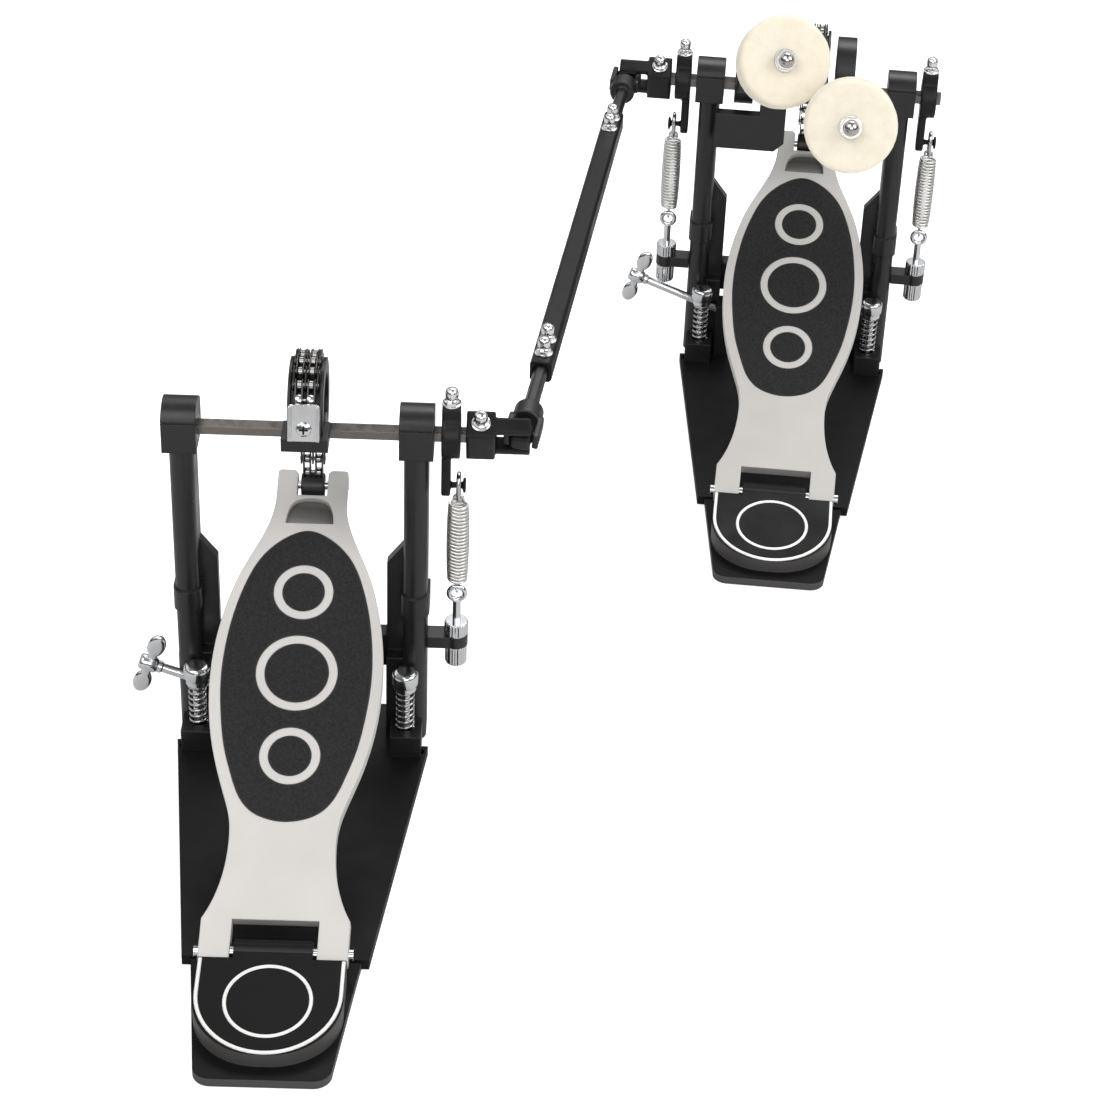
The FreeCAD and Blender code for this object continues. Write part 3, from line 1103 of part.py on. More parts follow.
# Bracket from the left upright to the bearing between the two half axles.
def centre_bracket(label, place):
    left, right = S.bracket_left, S.bracket_right
    low = S.axle_height - S.bracket_drop
    high = low + S.bracket_tall
    bevel = S.bracket_bevel
    face = [(left, low), (right - bevel, low), (right, low + bevel), (right, high), (left, high)]
    plate = slab(label + "_plate", [face], "bracket_back - sizes.bracket_front",
                 vec(0, S.bracket_back, 0), UPRIGHT)
    riser = block(label + "_riser", vec(S.riser_left, S.bracket_front, S.axle_height - S.riser_drop),
                  vec(right, S.riser_back, S.axle_height + S.riser_rise))
    whole = fuse(label + "_whole", [plate, riser])
    seat_deep = S.bearing_wide + S.fit_gap
    seats = []
    for word, x_from, x_to in (("left", S.riser_left - S.overrun, S.riser_left + seat_deep),
                               ("right", right - seat_deep, right + S.overrun)):
        seats.append(prism(label + "_" + word + "_seat", ROUND_SIDES, S.bearing_radius + 2 * S.fit_gap,
                           vec(x_from, 0, S.axle_height), vec(x_to, 0, S.axle_height)))
    seats.append(prism(label + "_passage", ROUND_SIDES, AXLE_CORNER + S.swing_gap,
                       vec(S.riser_left - S.overrun, 0, S.axle_height),
                       vec(right + S.overrun, 0, S.axle_height)))
    node(label, [cut(label + "_cut", whole, seats)], place)


# Drive shaft: square tube, a rod in each end with a fork for the joint cross, and the clamp bolts.
def drive_shaft(first, second, first_cross, second_cross):
    way = second - first
    length = way.Length
    way.normalize()
    rods = []
    for word, spot, along, level in (("near", first, way, first_cross),
                                     ("far", second, way * -1, second_cross)):
        name = "shaft_" + word
        across = along.cross(level)
        turn = FreeCAD.Rotation(level, across, along, "XYZ")
        pieces = []
        for side in (-1, 1):
            ear = doc.addObject("Part::Box", name + "_ear%d" % side)
            bind(ear, Length="fork_thick")
            ear.Width = 2 * S.fork_radius
            ear.Height = S.fork_base + S.fork_radius + S.fork_thick
            x_low = S.fork_inner if side > 0 else -S.fork_inner - S.fork_thick
            corner = spot + level * x_low - across * S.fork_radius - along * S.fork_radius
            ear.Placement = FreeCAD.Placement(corner, turn)
            pieces.append(ear)
        base_end = S.fork_base + S.fork_base_long
        pieces.append(rod(name + "_cup", "cup_radius", spot + along * S.fork_base, spot + along * base_end))
        pieces.append(prism(name + "_rod", HEX_SIDES, S.shaft_rod, spot + along * base_end,
                            spot + along * S.rod_reach))
        pin_room = prism(name + "_pin_room", ROUND_SIDES, S.cross_pin + S.fork_slack,
                         spot - level * S.rod_reach, spot + level * S.rod_reach)
        rods.append(cut(name + "_cut", fuse(name + "_whole", pieces), [pin_room]))
    node("shaft_rods", rods, HOME)
    upward = Z_AXIS
    level = upward.cross(way)
    start = first + way * S.tube_start
    tube_length = length - 2 * S.tube_start
    half = S.tube_half
    corner = S.tube_corner
    outline = [(half - corner, -half), (half, corner - half), (half, half - corner), (half - corner, half),
               (corner - half, half), (-half, half - corner), (-half, corner - half), (corner - half, -half)]
    body = new_body("shaft_tube_body")
    sketch = new_sketch(body, "shaft_tube_sketch", "XY_Plane", 0)
    draw(sketch, outline)
    sketch.addGeometry(Part.Circle(vec(0, 0, 0), Z_AXIS, S.tube_bore), False)
    doc.recompute()
    feature = body.newObject("PartDesign::Pad", "shaft_tube_pad")
    feature.Profile = sketch
    feature.Length = tube_length
    doc.recompute()
    body.Tip = feature
    body.Placement = FreeCAD.Placement(start, FreeCAD.Rotation(level, upward, way, "XYZ"))
    bolts = []
    bores = []
    for index in range(4):
        near = index < 2
        offset = S.tube_bolt_first + S.tube_bolt_step * (index % 2)
        along_by = S.tube_start + offset if near else length - S.tube_start - offset
        spot = first + way * along_by + upward * half
        bolts.append(key_bolt("shaft_bolt%d" % index, spot, upward, S.tube_bolt_sink))
        bores.append(prism("shaft_bolt_bore%d" % index, ROUND_SIDES, S.key_shank + 2 * S.fit_gap,
                           spot - upward * S.key_sink, spot + upward * S.key_sink))
    node("shaft_tube", [cut("shaft_tube_cut", body, bores)], HOME)
    node("shaft_key_bolts", bolts, HOME)


# The two pedals: the main one stands at the origin, the slave is set beside it and joined by the shaft.
SLAVE = FreeCAD.Placement(vec(S.slave_x, S.slave_y, 0), FreeCAD.Rotation(Z_AXIS, S.slave_turn))
MAIN_JOINT = vec(-S.joint_x, 0, S.axle_height)
SLAVE_JOINT = SLAVE.multVec(vec(S.joint_x, 0, S.axle_height))
SHAFT_WAY = MAIN_JOINT - SLAVE_JOINT
SHAFT_WAY.normalize()
SLAVE_WAY = SLAVE.Rotation.inverted().multVec(SHAFT_WAY)

frames = (("main", HOME), ("slave", SLAVE))
pins = []
bearings = []
bridges = []
arms = []
tensioners = []
spur_coils = []
for prefix, place in frames:
    base_plate(prefix + "_base_plate", place)
    heel_plate(prefix + "_heel_plate", place)
    upright(prefix + "_left_upright", -1, place)
    upright(prefix + "_right_upright", 1, place)
    footboard(prefix, place)
    cam(prefix + "_cam", place)
    chain(prefix, place)
    wing_screw(prefix + "_wing_bolt", S.main_wing_out if prefix == "main" else S.slave_wing_out, place)
    node(prefix + "_spurs", [spur(prefix + "_left_spur", -1), spur(prefix + "_right_spur", 1)], place)
    for side in (-1, 1):
        spur_coils.append(spur_spring("%s_spur_coil%d" % (prefix, side), side, place))
    pin = rod(prefix + "_hinge_bar", "hinge_pin_radius",
              vec(S.heel_shift - S.hinge_pin_half, S.hinge_y, S.hinge_z),
              vec(S.heel_shift + S.hinge_pin_half, S.hinge_y, S.hinge_z))
    pin.Placement = place.multiply(pin.Placement)
    pins.append(pin)
    for side in (-1, 1):
        ends = sorted((side * S.housing_inner, side * (S.housing_inner + S.bearing_wide)))
        bearings.append(bearing("%s_bearing%d" % (prefix, side), ends[0], ends[1], place))
    bridges.append(bridge(prefix + "_bridge", prefix == "main", place))
    for side in (-1, 1):
        if prefix == "slave" and side < 0:
            continue
        word = "slave" if prefix == "slave" else ("main_left" if side < 0 else "main_right")
        arm_piece, bolt, nuts = spring_holder(word, side, place)
        arms.append(arm_piece)
        tensioners.append(bolt)
        tensioners.extend(nuts)
        tension_spring(word + "_spring", side, place)
riser_right = S.bracket_right
bearings.append(bearing("middle_left_bearing", S.riser_left, S.riser_left + S.bearing_wide, HOME))
bearings.append(bearing("middle_right_bearing", riser_right - S.bearing_wide, riser_right, HOME))
node("hinge_pins", pins, HOME)
node("bearings", bearings, HOME)
node("bridges", bridges, HOME)
node("spring_arms", arms, HOME)
node("spring_tensioners", tensioners, HOME)
node("spur_springs", spur_coils, HOME)
hoop_jaw("main_hoop_jaw", HOME)
centre_bracket("centre_bracket", HOME)

slave_end = S.housing_inner + S.housing_wide
axle("slave_axle", -slave_end, S.axle_reach, SLAVE)
slave_bolts = [rocker("slave_rocker", 1, SLAVE), yoke("slave_yoke", 1, SLAVE, SLAVE_WAY)]
node("slave_key_bolts", slave_bolts, SLAVE)
axle("main_axle", S.axle_split_right, S.axle_stub, HOME)
node("main_key_bolts", [rocker("main_right_rocker", 1, HOME)], HOME)
axle("left_axle", -S.axle_reach, S.axle_split_left, HOME)
left_bolts = [rocker("main_left_rocker", -1, HOME), yoke("main_yoke", -1, HOME, SHAFT_WAY * -1)]
node("left_key_bolts", left_bolts, HOME)
beater("main", S.main_hub_x, True, HOME)
beater("left", S.left_hub_x, False, HOME)
slave_level = SLAVE.Rotation.multVec(cross_axes(SLAVE_WAY)[1])
main_level = cross_axes(SHAFT_WAY * -1)[1]
drive_shaft(SLAVE_JOINT, MAIN_JOINT, slave_level, main_level)

doc.recompute()
for thing in doc.Objects:
    if "Invalid" in thing.State or "Error" in thing.State:
        raise RuntimeError("failed: " + thing.Name)
for label, thing in made.items():
    if thing.Shape.isNull() or not thing.Shape.isValid():
        raise RuntimeError("bad shape: " + label)
os.makedirs("parts", exist_ok=True)
for label, thing in made.items():
    thing.Shape.exportStep(os.path.join("parts", label + ".step"))
    print(label, len(thing.Shape.Solids), round(thing.Shape.Volume))
print(len(made), "nodes")
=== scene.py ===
import bpy
import bmesh
import math
from mathutils import Matrix, Vector, noise


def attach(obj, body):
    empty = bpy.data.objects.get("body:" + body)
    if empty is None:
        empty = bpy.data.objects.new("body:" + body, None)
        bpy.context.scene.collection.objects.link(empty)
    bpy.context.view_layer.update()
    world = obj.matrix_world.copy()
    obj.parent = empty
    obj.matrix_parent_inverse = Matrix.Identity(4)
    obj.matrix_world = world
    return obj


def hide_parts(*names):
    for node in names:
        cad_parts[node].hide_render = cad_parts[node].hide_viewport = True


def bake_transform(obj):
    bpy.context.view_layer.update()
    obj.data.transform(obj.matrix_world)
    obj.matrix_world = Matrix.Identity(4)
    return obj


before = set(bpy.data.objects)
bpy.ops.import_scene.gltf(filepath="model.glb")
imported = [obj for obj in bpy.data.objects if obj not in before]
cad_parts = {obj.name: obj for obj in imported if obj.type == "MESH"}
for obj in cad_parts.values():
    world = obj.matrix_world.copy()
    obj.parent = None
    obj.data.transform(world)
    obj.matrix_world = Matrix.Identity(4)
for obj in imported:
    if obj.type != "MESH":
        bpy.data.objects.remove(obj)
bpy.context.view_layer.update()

# Sizes of the solids that the pieces follow, in millimetres and degrees, as in the part's source.
# Pairs are (y, z) in a pedal's own frame unless a comment says otherwise.
MM = 0.001
AXLE_Z = 199.0
TOE_X = 4.3
HEEL_X = 0.3
HINGE = (-197.0, 17.5)
TOE = (30.0, 145.5)
CAM_MIDDLE = (8.0, 209.6)
CHAIN_RADIUS = 25.5
CHAIN_PITCH = 8.0
LINK_TURN = 2 * math.asin(CHAIN_PITCH / 2 / CHAIN_RADIUS)
PEEL_LINKS, WRAP_LINKS, RUN_LINKS = 3, 5, 7
SPRING_X = 82.5
SPUR_X, SPUR_Y = 56.0, -17.0
BOARD_TURN = math.atan2(TOE[1] - HINGE[1], TOE[0] - HINGE[0])
BOARD_LENGTH = math.hypot(TOE[1] - HINGE[1], TOE[0] - HINGE[0])
BOARD_SKEW = (TOE_X - HEEL_X) / BOARD_LENGTH

X_AXIS = Vector((1, 0, 0))
Y_AXIS = Vector((0, 1, 0))
Z_AXIS = Vector((0, 0, 1))

# Where each pedal stands; the slave's place is (x, y).
SLAVE_AT = (-249.3, -450.6)
SLAVE_TURN = math.radians(5.1)
SLAVE_SHIFT = Matrix.Translation((SLAVE_AT[0] * MM, SLAVE_AT[1] * MM, 0))
MAIN_PLACE = Matrix.Identity(4)
SLAVE_PLACE = SLAVE_SHIFT @ Matrix.Rotation(SLAVE_TURN, 4, "Z")
PEDALS = (("main", MAIN_PLACE), ("slave", SLAVE_PLACE))

# Materials
NOISE_SPAN = (0.3, 0.7)
# Span of the edge mask for the painted edge highlight.
EDGE_HIGHLIGHT_SPAN = (0.80, 0.99)
BEVEL_SAMPLES = 4
# Spread of the roughness: added for a coat, multiplied for a metal.
COAT_SPREAD = (-0.06, 0.08)
METAL_SPREAD = (0.8, 1.35)


def new_material(name, color, rough, metal=0.0, spec=0.5):
    """Principled material whose constants sit on its own sockets."""
    mat = bpy.data.materials.new(name)
    mat.use_nodes = True
    shader = mat.node_tree.nodes["Principled BSDF"]
    shader.inputs["Base Color"].default_value = (*color, 1)
    shader.inputs["Roughness"].default_value = rough
    shader.inputs["Metallic"].default_value = metal
    shader.inputs["Specular IOR Level"].default_value = spec
    return mat


def map_range(nodes, source, target):
    """Map Range node from one span of values to another."""
    span = nodes.new("ShaderNodeMapRange")
    span.inputs["From Min"].default_value = source[0]
    span.inputs["From Max"].default_value = source[1]
    span.inputs["To Min"].default_value = target[0]
    span.inputs["To Max"].default_value = target[1]
    return span


def grey_ramp(nodes, bands, tint):
    """Colour ramp through (position, grey) pairs, each grey times a tint."""
    ramp = nodes.new("ShaderNodeValToRGB")
    while len(ramp.color_ramp.elements) < len(bands):
        ramp.color_ramp.elements.new(1.0)
    for element, (spot, grey) in zip(ramp.color_ramp.elements, bands):
        element.position = spot
        element.color = (grey * tint[0], grey * tint[1], grey * tint[2], 1)
    return ramp


def add_noise(mat, scale, detail):
    """Noise texture in object space; returns its node."""
    nodes, links = mat.node_tree.nodes, mat.node_tree.links
    coords = nodes.new("ShaderNodeTexCoord")
    tex = nodes.new("ShaderNodeTexNoise")
    tex.inputs["Scale"].default_value = scale
    tex.inputs["Detail"].default_value = detail
    links.new(coords.outputs["Object"], tex.inputs["Vector"])
    return tex


def vary(mat, socket, tex, low, high):
    """Drives a shader socket by a noise between two values or colours."""
    nodes, links = mat.node_tree.nodes, mat.node_tree.links
    shader = nodes["Principled BSDF"]
    if isinstance(low, tuple):
        ramp = nodes.new("ShaderNodeValToRGB")
        for element, spot, color in zip(ramp.color_ramp.elements, NOISE_SPAN, (low, high)):
            element.position = spot
            element.color = (*color, 1)
        links.new(tex.outputs["Fac"], ramp.inputs["Fac"])
        links.new(ramp.outputs["Color"], shader.inputs[socket])
    else:
        span = map_range(nodes, NOISE_SPAN, (low, high))
        links.new(tex.outputs["Fac"], span.inputs["Value"])
        links.new(span.outputs["Result"], shader.inputs[socket])


def soft_normal(nodes, radius):
    """Normal that rounds the edges within a radius."""
    soft = nodes.new("ShaderNodeBevel")
    soft.samples = BEVEL_SAMPLES
    soft.inputs["Radius"].default_value = radius
    return soft.outputs["Normal"]


def relief(mat, tex, strength, depth, round_edges=0.0):
    """Bump from a texture, over edges softened by a small radius."""
    nodes, links = mat.node_tree.nodes, mat.node_tree.links
    shader = nodes["Principled BSDF"]
    bump = nodes.new("ShaderNodeBump")
    bump.inputs["Strength"].default_value = strength
    bump.inputs["Distance"].default_value = depth
    links.new(tex.outputs["Fac"], bump.inputs["Height"])
    if round_edges:
        links.new(soft_normal(nodes, round_edges), bump.inputs["Normal"])
    links.new(bump.outputs["Normal"], shader.inputs["Normal"])


def paint_edge_highlight(mat, radius, color):
    """Painted highlight: a paler colour within a small distance of the edges."""
    nodes, links = mat.node_tree.nodes, mat.node_tree.links
    shader = nodes["Principled BSDF"]
    face = nodes.new("ShaderNodeNewGeometry")
    match = nodes.new("ShaderNodeVectorMath")
    match.operation = "DOT_PRODUCT"
    links.new(soft_normal(nodes, radius), match.inputs[0])
    links.new(face.outputs["True Normal"], match.inputs[1])
    share = map_range(nodes, EDGE_HIGHLIGHT_SPAN, (1.0, 0.0))
    links.new(match.outputs["Value"], share.inputs["Value"])
    mix = nodes.new("ShaderNodeMixRGB")
    mix.inputs["Color2"].default_value = (*color, 1)
    before = shader.inputs["Base Color"].links[0].from_socket
    links.new(share.outputs["Result"], mix.inputs["Fac"])
    links.new(before, mix.inputs["Color1"])
    links.new(mix.outputs["Color"], shader.inputs["Base Color"])


def paint_wall_sheen(mat, color, flat_from, wall_from):
    """Painted sheen: another colour where the piece's own surface stands upright, with a soft change to the
    flat parts.
    """
    nodes, links = mat.node_tree.nodes, mat.node_tree.links
    shader = nodes["Principled BSDF"]
    coords = nodes.new("ShaderNodeTexCoord")
    split = nodes.new("ShaderNodeSeparateXYZ")
    links.new(coords.outputs["Normal"], split.inputs["Vector"])
    share = map_range(nodes, (wall_from, flat_from), (1.0, 0.0))
    links.new(split.outputs["Z"], share.inputs["Value"])
    mix = nodes.new("ShaderNodeMixRGB")
    mix.inputs["Color1"].default_value = shader.inputs["Base Color"].default_value
    mix.inputs["Color2"].default_value = (*color, 1)
    links.new(share.outputs["Result"], mix.inputs["Fac"])
    links.new(mix.outputs["Color"], shader.inputs["Base Color"])


def paint_shade_along(mat, axis, bands, tint):
    """Painted shade and reflection: grey bands along one axis of the piece's own box, standing in for the
    shade in a shallow recess.
    """
    nodes, links = mat.node_tree.nodes, mat.node_tree.links
    coords = nodes.new("ShaderNodeTexCoord")
    split = nodes.new("ShaderNodeSeparateXYZ")
    links.new(coords.outputs["Generated"], split.inputs["Vector"])
    ramp = grey_ramp(nodes, bands, tint)
    links.new(split.outputs[axis], ramp.inputs["Fac"])
    links.new(ramp.outputs["Color"], nodes["Principled BSDF"].inputs["Base Color"])


def coated_black(name, color, rough, edge, spec):
    """Coat with patchy gloss, a fine grain and softened edges."""
    mat = new_material(name, color, rough, spec=spec)
    patches = add_noise(mat, scale=60.0, detail=4.0)
    vary(mat, "Roughness", patches, rough + COAT_SPREAD[0], rough + COAT_SPREAD[1])
    grain = add_noise(mat, scale=1500.0, detail=2.0)
    relief(mat, grain, strength=0.12, depth=0.0002, round_edges=edge)
    return mat


def metal(name, color, rough, edge=0.0004):
    """Bare metal with uneven polish and softened edges."""
    mat = new_material(name, color, rough, metal=1.0)
    patches = add_noise(mat, scale=240.0, detail=3.0)
    vary(mat, "Roughness", patches, rough * METAL_SPREAD[0], rough * METAL_SPREAD[1])
    grain = add_noise(mat, scale=900.0, detail=2.0)
    relief(mat, grain, strength=0.03, depth=0.0001, round_edges=edge)
    return mat


BLACK = coated_black("black_coat", (0.012, 0.0118, 0.0118), rough=0.33, edge=0.0010, spec=0.50)
BLACK_SOFT = coated_black("black_cast", (0.0085, 0.0083, 0.0083), rough=0.36, edge=0.0022, spec=0.26)
BLACK_PLATE = coated_black("black_plate", (0.0075, 0.0073, 0.0073), rough=0.46, edge=0.0006, spec=0.17)
BLACK_TUBE = coated_black("black_tube", (0.0095, 0.0092, 0.0095), rough=0.34, edge=0.0012, spec=0.20)
HEEL = coated_black("heel_black", (0.0065, 0.0063, 0.0063), rough=0.42, edge=0.0014, spec=0.13)
# Painted sheen: the heel's upright side band is a paler grey than its black top.
paint_wall_sheen(HEEL, (0.075, 0.070, 0.069), flat_from=0.97, wall_from=0.55)
# Painted shade: the dish floor is a much darker grey than the board, darkest toward the toe, with a paler
# painted reflection at the heel end.
DISH_PAINTED_SHADE = coated_black("dish_painted_shade", (0.20, 0.195, 0.19), rough=0.42, edge=0.0003, spec=0.40)
DISH_SHADE_BANDS = ((0.0, 0.34), (0.16, 0.22), (0.36, 0.12), (0.70, 0.07), (1.0, 0.12))
paint_shade_along(DISH_PAINTED_SHADE, "Y", DISH_SHADE_BANDS, tint=(1.0, 0.975, 0.95))
# Painted shade: near-black for the shade inside the screw's cross slot.
SLOT_PAINTED_SHADE = coated_black("slot_painted_shade", (0.003, 0.003, 0.003), rough=0.65, edge=0.0002, spec=0.3)
CHROME = metal("chrome", (0.74, 0.75, 0.77), rough=0.13)
NICKEL = metal("dark_nickel", (0.22, 0.20, 0.185), rough=0.28)
STEEL = metal("bright_steel", (0.58, 0.57, 0.56), rough=0.20)
BOLT = metal("bolt_chrome", (0.86, 0.86, 0.86), rough=0.14, edge=0.0003)
SPRING_STEEL = metal("spring_steel", (0.84, 0.83, 0.81), rough=0.32)
ROD_CHROME = metal("rod_chrome", (0.52, 0.51, 0.50), rough=0.18)
ROLLER = metal("roller_steel", (0.40, 0.395, 0.385), rough=0.20, edge=0.0002)
CHAIN_DARK = metal("chain_dark", (0.09, 0.088, 0.085), rough=0.30, edge=0.0002)

LINE_SILVER = new_material("line_silver", (0.84, 0.83, 0.81), rough=0.42, metal=0.35)
line_patches = add_noise(LINE_SILVER, scale=90.0, detail=3.0)
vary(LINE_SILVER, "Roughness", line_patches, low=0.36, high=0.50)
line_grain = add_noise(LINE_SILVER, scale=1100.0, detail=2.0)
relief(LINE_SILVER, line_grain, strength=0.05, depth=0.0001, round_edges=0.0003)

BOARD = new_material("board_silver", (0.60, 0.582, 0.558), rough=0.46, metal=0.25)
board_patches = add_noise(BOARD, scale=35.0, detail=5.0)
vary(BOARD, "Base Color", board_patches, low=(0.580, 0.562, 0.540), high=(0.622, 0.604, 0.580))
board_grain = add_noise(BOARD, scale=1300.0, detail=3.0)
relief(BOARD, board_grain, strength=0.10, depth=0.0002, round_edges=0.0010)

GRIP = new_material("grip_black", (0.012, 0.012, 0.013), rough=0.62, spec=0.24)
grip_patches = add_noise(GRIP, scale=700.0, detail=4.0)
vary(GRIP, "Base Color", grip_patches, low=(0.008, 0.008, 0.009), high=(0.020, 0.020, 0.021))
# Painted highlight: a paler brownish grey along the grip pad's edges.
paint_edge_highlight(GRIP, radius=0.0016, color=(0.060, 0.055, 0.052))
grip_grain = add_noise(GRIP, scale=1900.0, detail=2.0)
relief(GRIP, grip_grain, strength=0.45, depth=0.0003, round_edges=0.0004)

FELT = new_material("felt_cream", (0.86, 0.80, 0.66), rough=0.95)
felt_shader = FELT.node_tree.nodes["Principled BSDF"]
felt_shader.inputs["Sheen Weight"].default_value = 0.25
felt_shader.inputs["Sheen Roughness"].default_value = 0.6
felt_patches = add_noise(FELT, scale=150.0, detail=8.0)
vary(FELT, "Base Color", felt_patches, low=(0.84, 0.765, 0.62), high=(0.89, 0.82, 0.68))
felt_fibre = add_noise(FELT, scale=900.0, detail=6.0)
relief(FELT, felt_fibre, strength=0.5, depth=0.0006)


# Mesh helpers
def to_object(name, verts, faces, mat, body, place=MAIN_PLACE, smooth=True, split=None):
    """Mesh piece from points in a pedal's own millimetres, riding on a body if one is given."""
    mesh = bpy.data.meshes.new(name)
    mesh.from_pydata([Vector(v) * MM for v in verts], [], faces)
    mesh.transform(place)
    mesh.validate()
    bm = bmesh.new()
    bm.from_mesh(mesh)
    bmesh.ops.recalc_face_normals(bm, faces=bm.faces)
    bm.to_mesh(mesh)
    bm.free()
    obj = bpy.data.objects.new(name, mesh)
    bpy.context.collection.objects.link(obj)
    mesh.materials.append(mat)
    for poly in mesh.polygons:
        poly.use_smooth = smooth
    if split:
        mesh.set_sharp_from_angle(angle=math.radians(split))
    if body:
        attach(obj, body)
    return obj


def joined(parts):
    """Puts several (points, faces) lists together."""
    verts, faces = [], []
    for part_verts, part_faces in parts:
        shift = len(verts)
        verts.extend(part_verts)
        faces.extend([tuple(i + shift for i in face) for face in part_faces])
    return verts, faces


def ring_points(middle, side, other, radius, sides):
    """Points of a circle about a middle, in the plane of two directions."""
    points = []
    for k in range(sides):
        turn = 2 * math.pi * k / sides
        points.append(middle + (side * math.cos(turn) + other * math.sin(turn)) * radius)
    return points


def ring_faces(rows, sides):
    """Faces of a skin over rows of ring points, then one face for each end."""
    faces = []
    for row in range(rows - 1):
        for k in range(sides):
            a = row * sides + k
            b = row * sides + (k + 1) % sides
            faces.append((a, b, b + sides, a + sides))
    faces.append(tuple(range(sides)))
    faces.append(tuple(range((rows - 1) * sides, rows * sides)))
    return faces


def tube_mesh(path, radius, sides):
    """Round tube along points, with closed ends."""
    verts = []
    count = len(path)
    side = (path[1] - path[0]).normalized().cross(Z_AXIS)
    side.normalize()
    for index, spot in enumerate(path):
        ahead = path[min(index + 1, count - 1)] - path[max(index - 1, 0)]
        ahead.normalize()
        side = (side - ahead * side.dot(ahead)).normalized()
        verts.extend(ring_points(spot, side, ahead.cross(side), radius, sides))
    return verts, ring_faces(count, sides)


def lathe_mesh(profile, sides, middle, along):
    """Turns (radius, distance) pairs round a line, with a face at each end."""
    along = Vector(along).normalized()
    side = along.orthogonal().normalized()
    other = along.cross(side)
    middle = Vector(middle)
    verts = []
    for radius, reach in profile:
        verts.extend(ring_points(middle + along * reach, side, other, radius, sides))
    return verts, ring_faces(len(profile), sides)


def plate_mesh(outline, thick, bevel, origin, across, along, out):
    """Flat plate with softened rims: outline is (u, v) pairs, out its thickness direction."""
    origin, across, along, out = Vector(origin), Vector(across), Vector(along), Vector(out)
    count = len(outline)
    mid_u = sum(p[0] for p in outline) / count
    mid_v = sum(p[1] for p in outline) / count
    layers = ((bevel, 0), (0, bevel), (0, thick - bevel), (bevel, thick))
    verts = []
    for inset, height in layers:
        for u, v in outline:
            du, dv = u - mid_u, v - mid_v
            length = math.hypot(du, dv)
            share = (length - inset) / length
            flat = across * (mid_u + du * share) + along * (mid_v + dv * share)
            verts.append(origin + flat + out * height)
    return verts, ring_faces(len(layers), count)


def rounded_box_outline(half_u, half_v, corner, steps=5):
    """Outline of a rectangle with round corners."""
    points = []
    for sign_u, sign_v, start in ((1, 1, 0), (-1, 1, 90), (-1, -1, 180), (1, -1, 270)):
        for k in range(steps + 1):
            turn = math.radians(start + 90 * k / steps)
            points.append((sign_u * (half_u - corner) + corner * math.cos(turn),
                           sign_v * (half_v - corner) + corner * math.sin(turn)))
    return points


# Roller chain: waisted link plates, rollers and riveted pins. Rows are distances along the axle.
LINK_RADIUS, LINK_WAIST, LINK_END_STEPS = 3.2, 0.74, 9
LINK_THICK, LINK_BEVEL = 0.8, 0.2
INNER_ROWS = (-4.9, -1.5, 1.5, 4.9)
OUTER_ROWS = (-6.1, 0.0, 6.1)
END_ROWS = (-6.1, 6.1)
ROLLER_ROWS, ROLLER_SIDES = (-4.4, 1.6), 18
ROLLER_SHAPE = ((1.9, 0), (2.4, 0.4), (2.4, 2.4), (1.9, 2.8))
PIN_RADIUS, PIN_TIP, PIN_EDGE, PIN_SIDES = 1.1, 0.7, 0.3, 12
PIN_REACH, END_PIN_REACH = 6.9, 5.3
BARREL_SHAPE = ((4.4, -6.2), (5.9, -6.2), (6.6, -5.5), (6.6, 5.5), (5.9, 6.2), (4.4, 6.2))
BARREL_SIDES = 36


def wheel_pin(step):
    """Place of a chain pin on the cam, counted in links from where the chain leaves it."""
    turn = step * LINK_TURN
    return (CAM_MIDDLE[0] + CHAIN_RADIUS * math.cos(turn), CAM_MIDDLE[1] + CHAIN_RADIUS * math.sin(turn))


def link_outline():
    """Waisted outline of one link plate, from pin to pin along v."""
    points = []
    waist = LINK_RADIUS * LINK_WAIST
    for end, start, side in ((CHAIN_PITCH, 0.0, -waist), (0.0, math.pi, waist)):
        for k in range(LINK_END_STEPS):
            turn = start + math.pi * k / (LINK_END_STEPS - 1)
            points.append((LINK_RADIUS * math.cos(turn), end + LINK_RADIUS * math.sin(turn)))
        points.append((side, CHAIN_PITCH / 2))
    return points


def chain_piece(name, pins, first_inner, open_ends, body, place):
    """Stretch of chain through its pins; open ends leave the end pins to the stretches beside it."""
    plates, rollers = [], []
    last = len(pins) - 1
    outline = link_outline()
    for index in range(last):
        if first_inner == (index % 2 == 0):
            rows = INNER_ROWS
        elif open_ends and index in (0, last - 1):
            rows = END_ROWS
        else:
            rows = OUTER_ROWS
        first, second = pins[index], pins[index + 1]
        along = Vector((0, second[0] - first[0], second[1] - first[1])).normalized()
        across = along.cross(X_AXIS)
        for row in rows:
            origin = (TOE_X + row - LINK_THICK / 2, first[0], first[1])
            plates.append(plate_mesh(outline, LINK_THICK, LINK_BEVEL, origin, across, along, X_AXIS))
    for index, spot in enumerate(pins):
        at_end = index in (0, last)
        if at_end and open_ends:
            continue
        for row in ROLLER_ROWS:
            start = (TOE_X + row, spot[0], spot[1])
            rollers.append(lathe_mesh(ROLLER_SHAPE, ROLLER_SIDES, start, X_AXIS))
        reach = END_PIN_REACH if at_end else PIN_REACH
        profile = ((PIN_TIP, -reach), (PIN_RADIUS, PIN_EDGE - reach),
                   (PIN_RADIUS, reach - PIN_EDGE), (PIN_TIP, reach))
        rollers.append(lathe_mesh(profile, PIN_SIDES, (TOE_X, spot[0], spot[1]), X_AXIS))
    plate_obj = to_object(name + "_plates", *joined(plates), CHAIN_DARK, body, place, split=30)
    to_object(name + "_rollers", *joined(rollers), ROLLER, body, place, split=30)
    return plate_obj


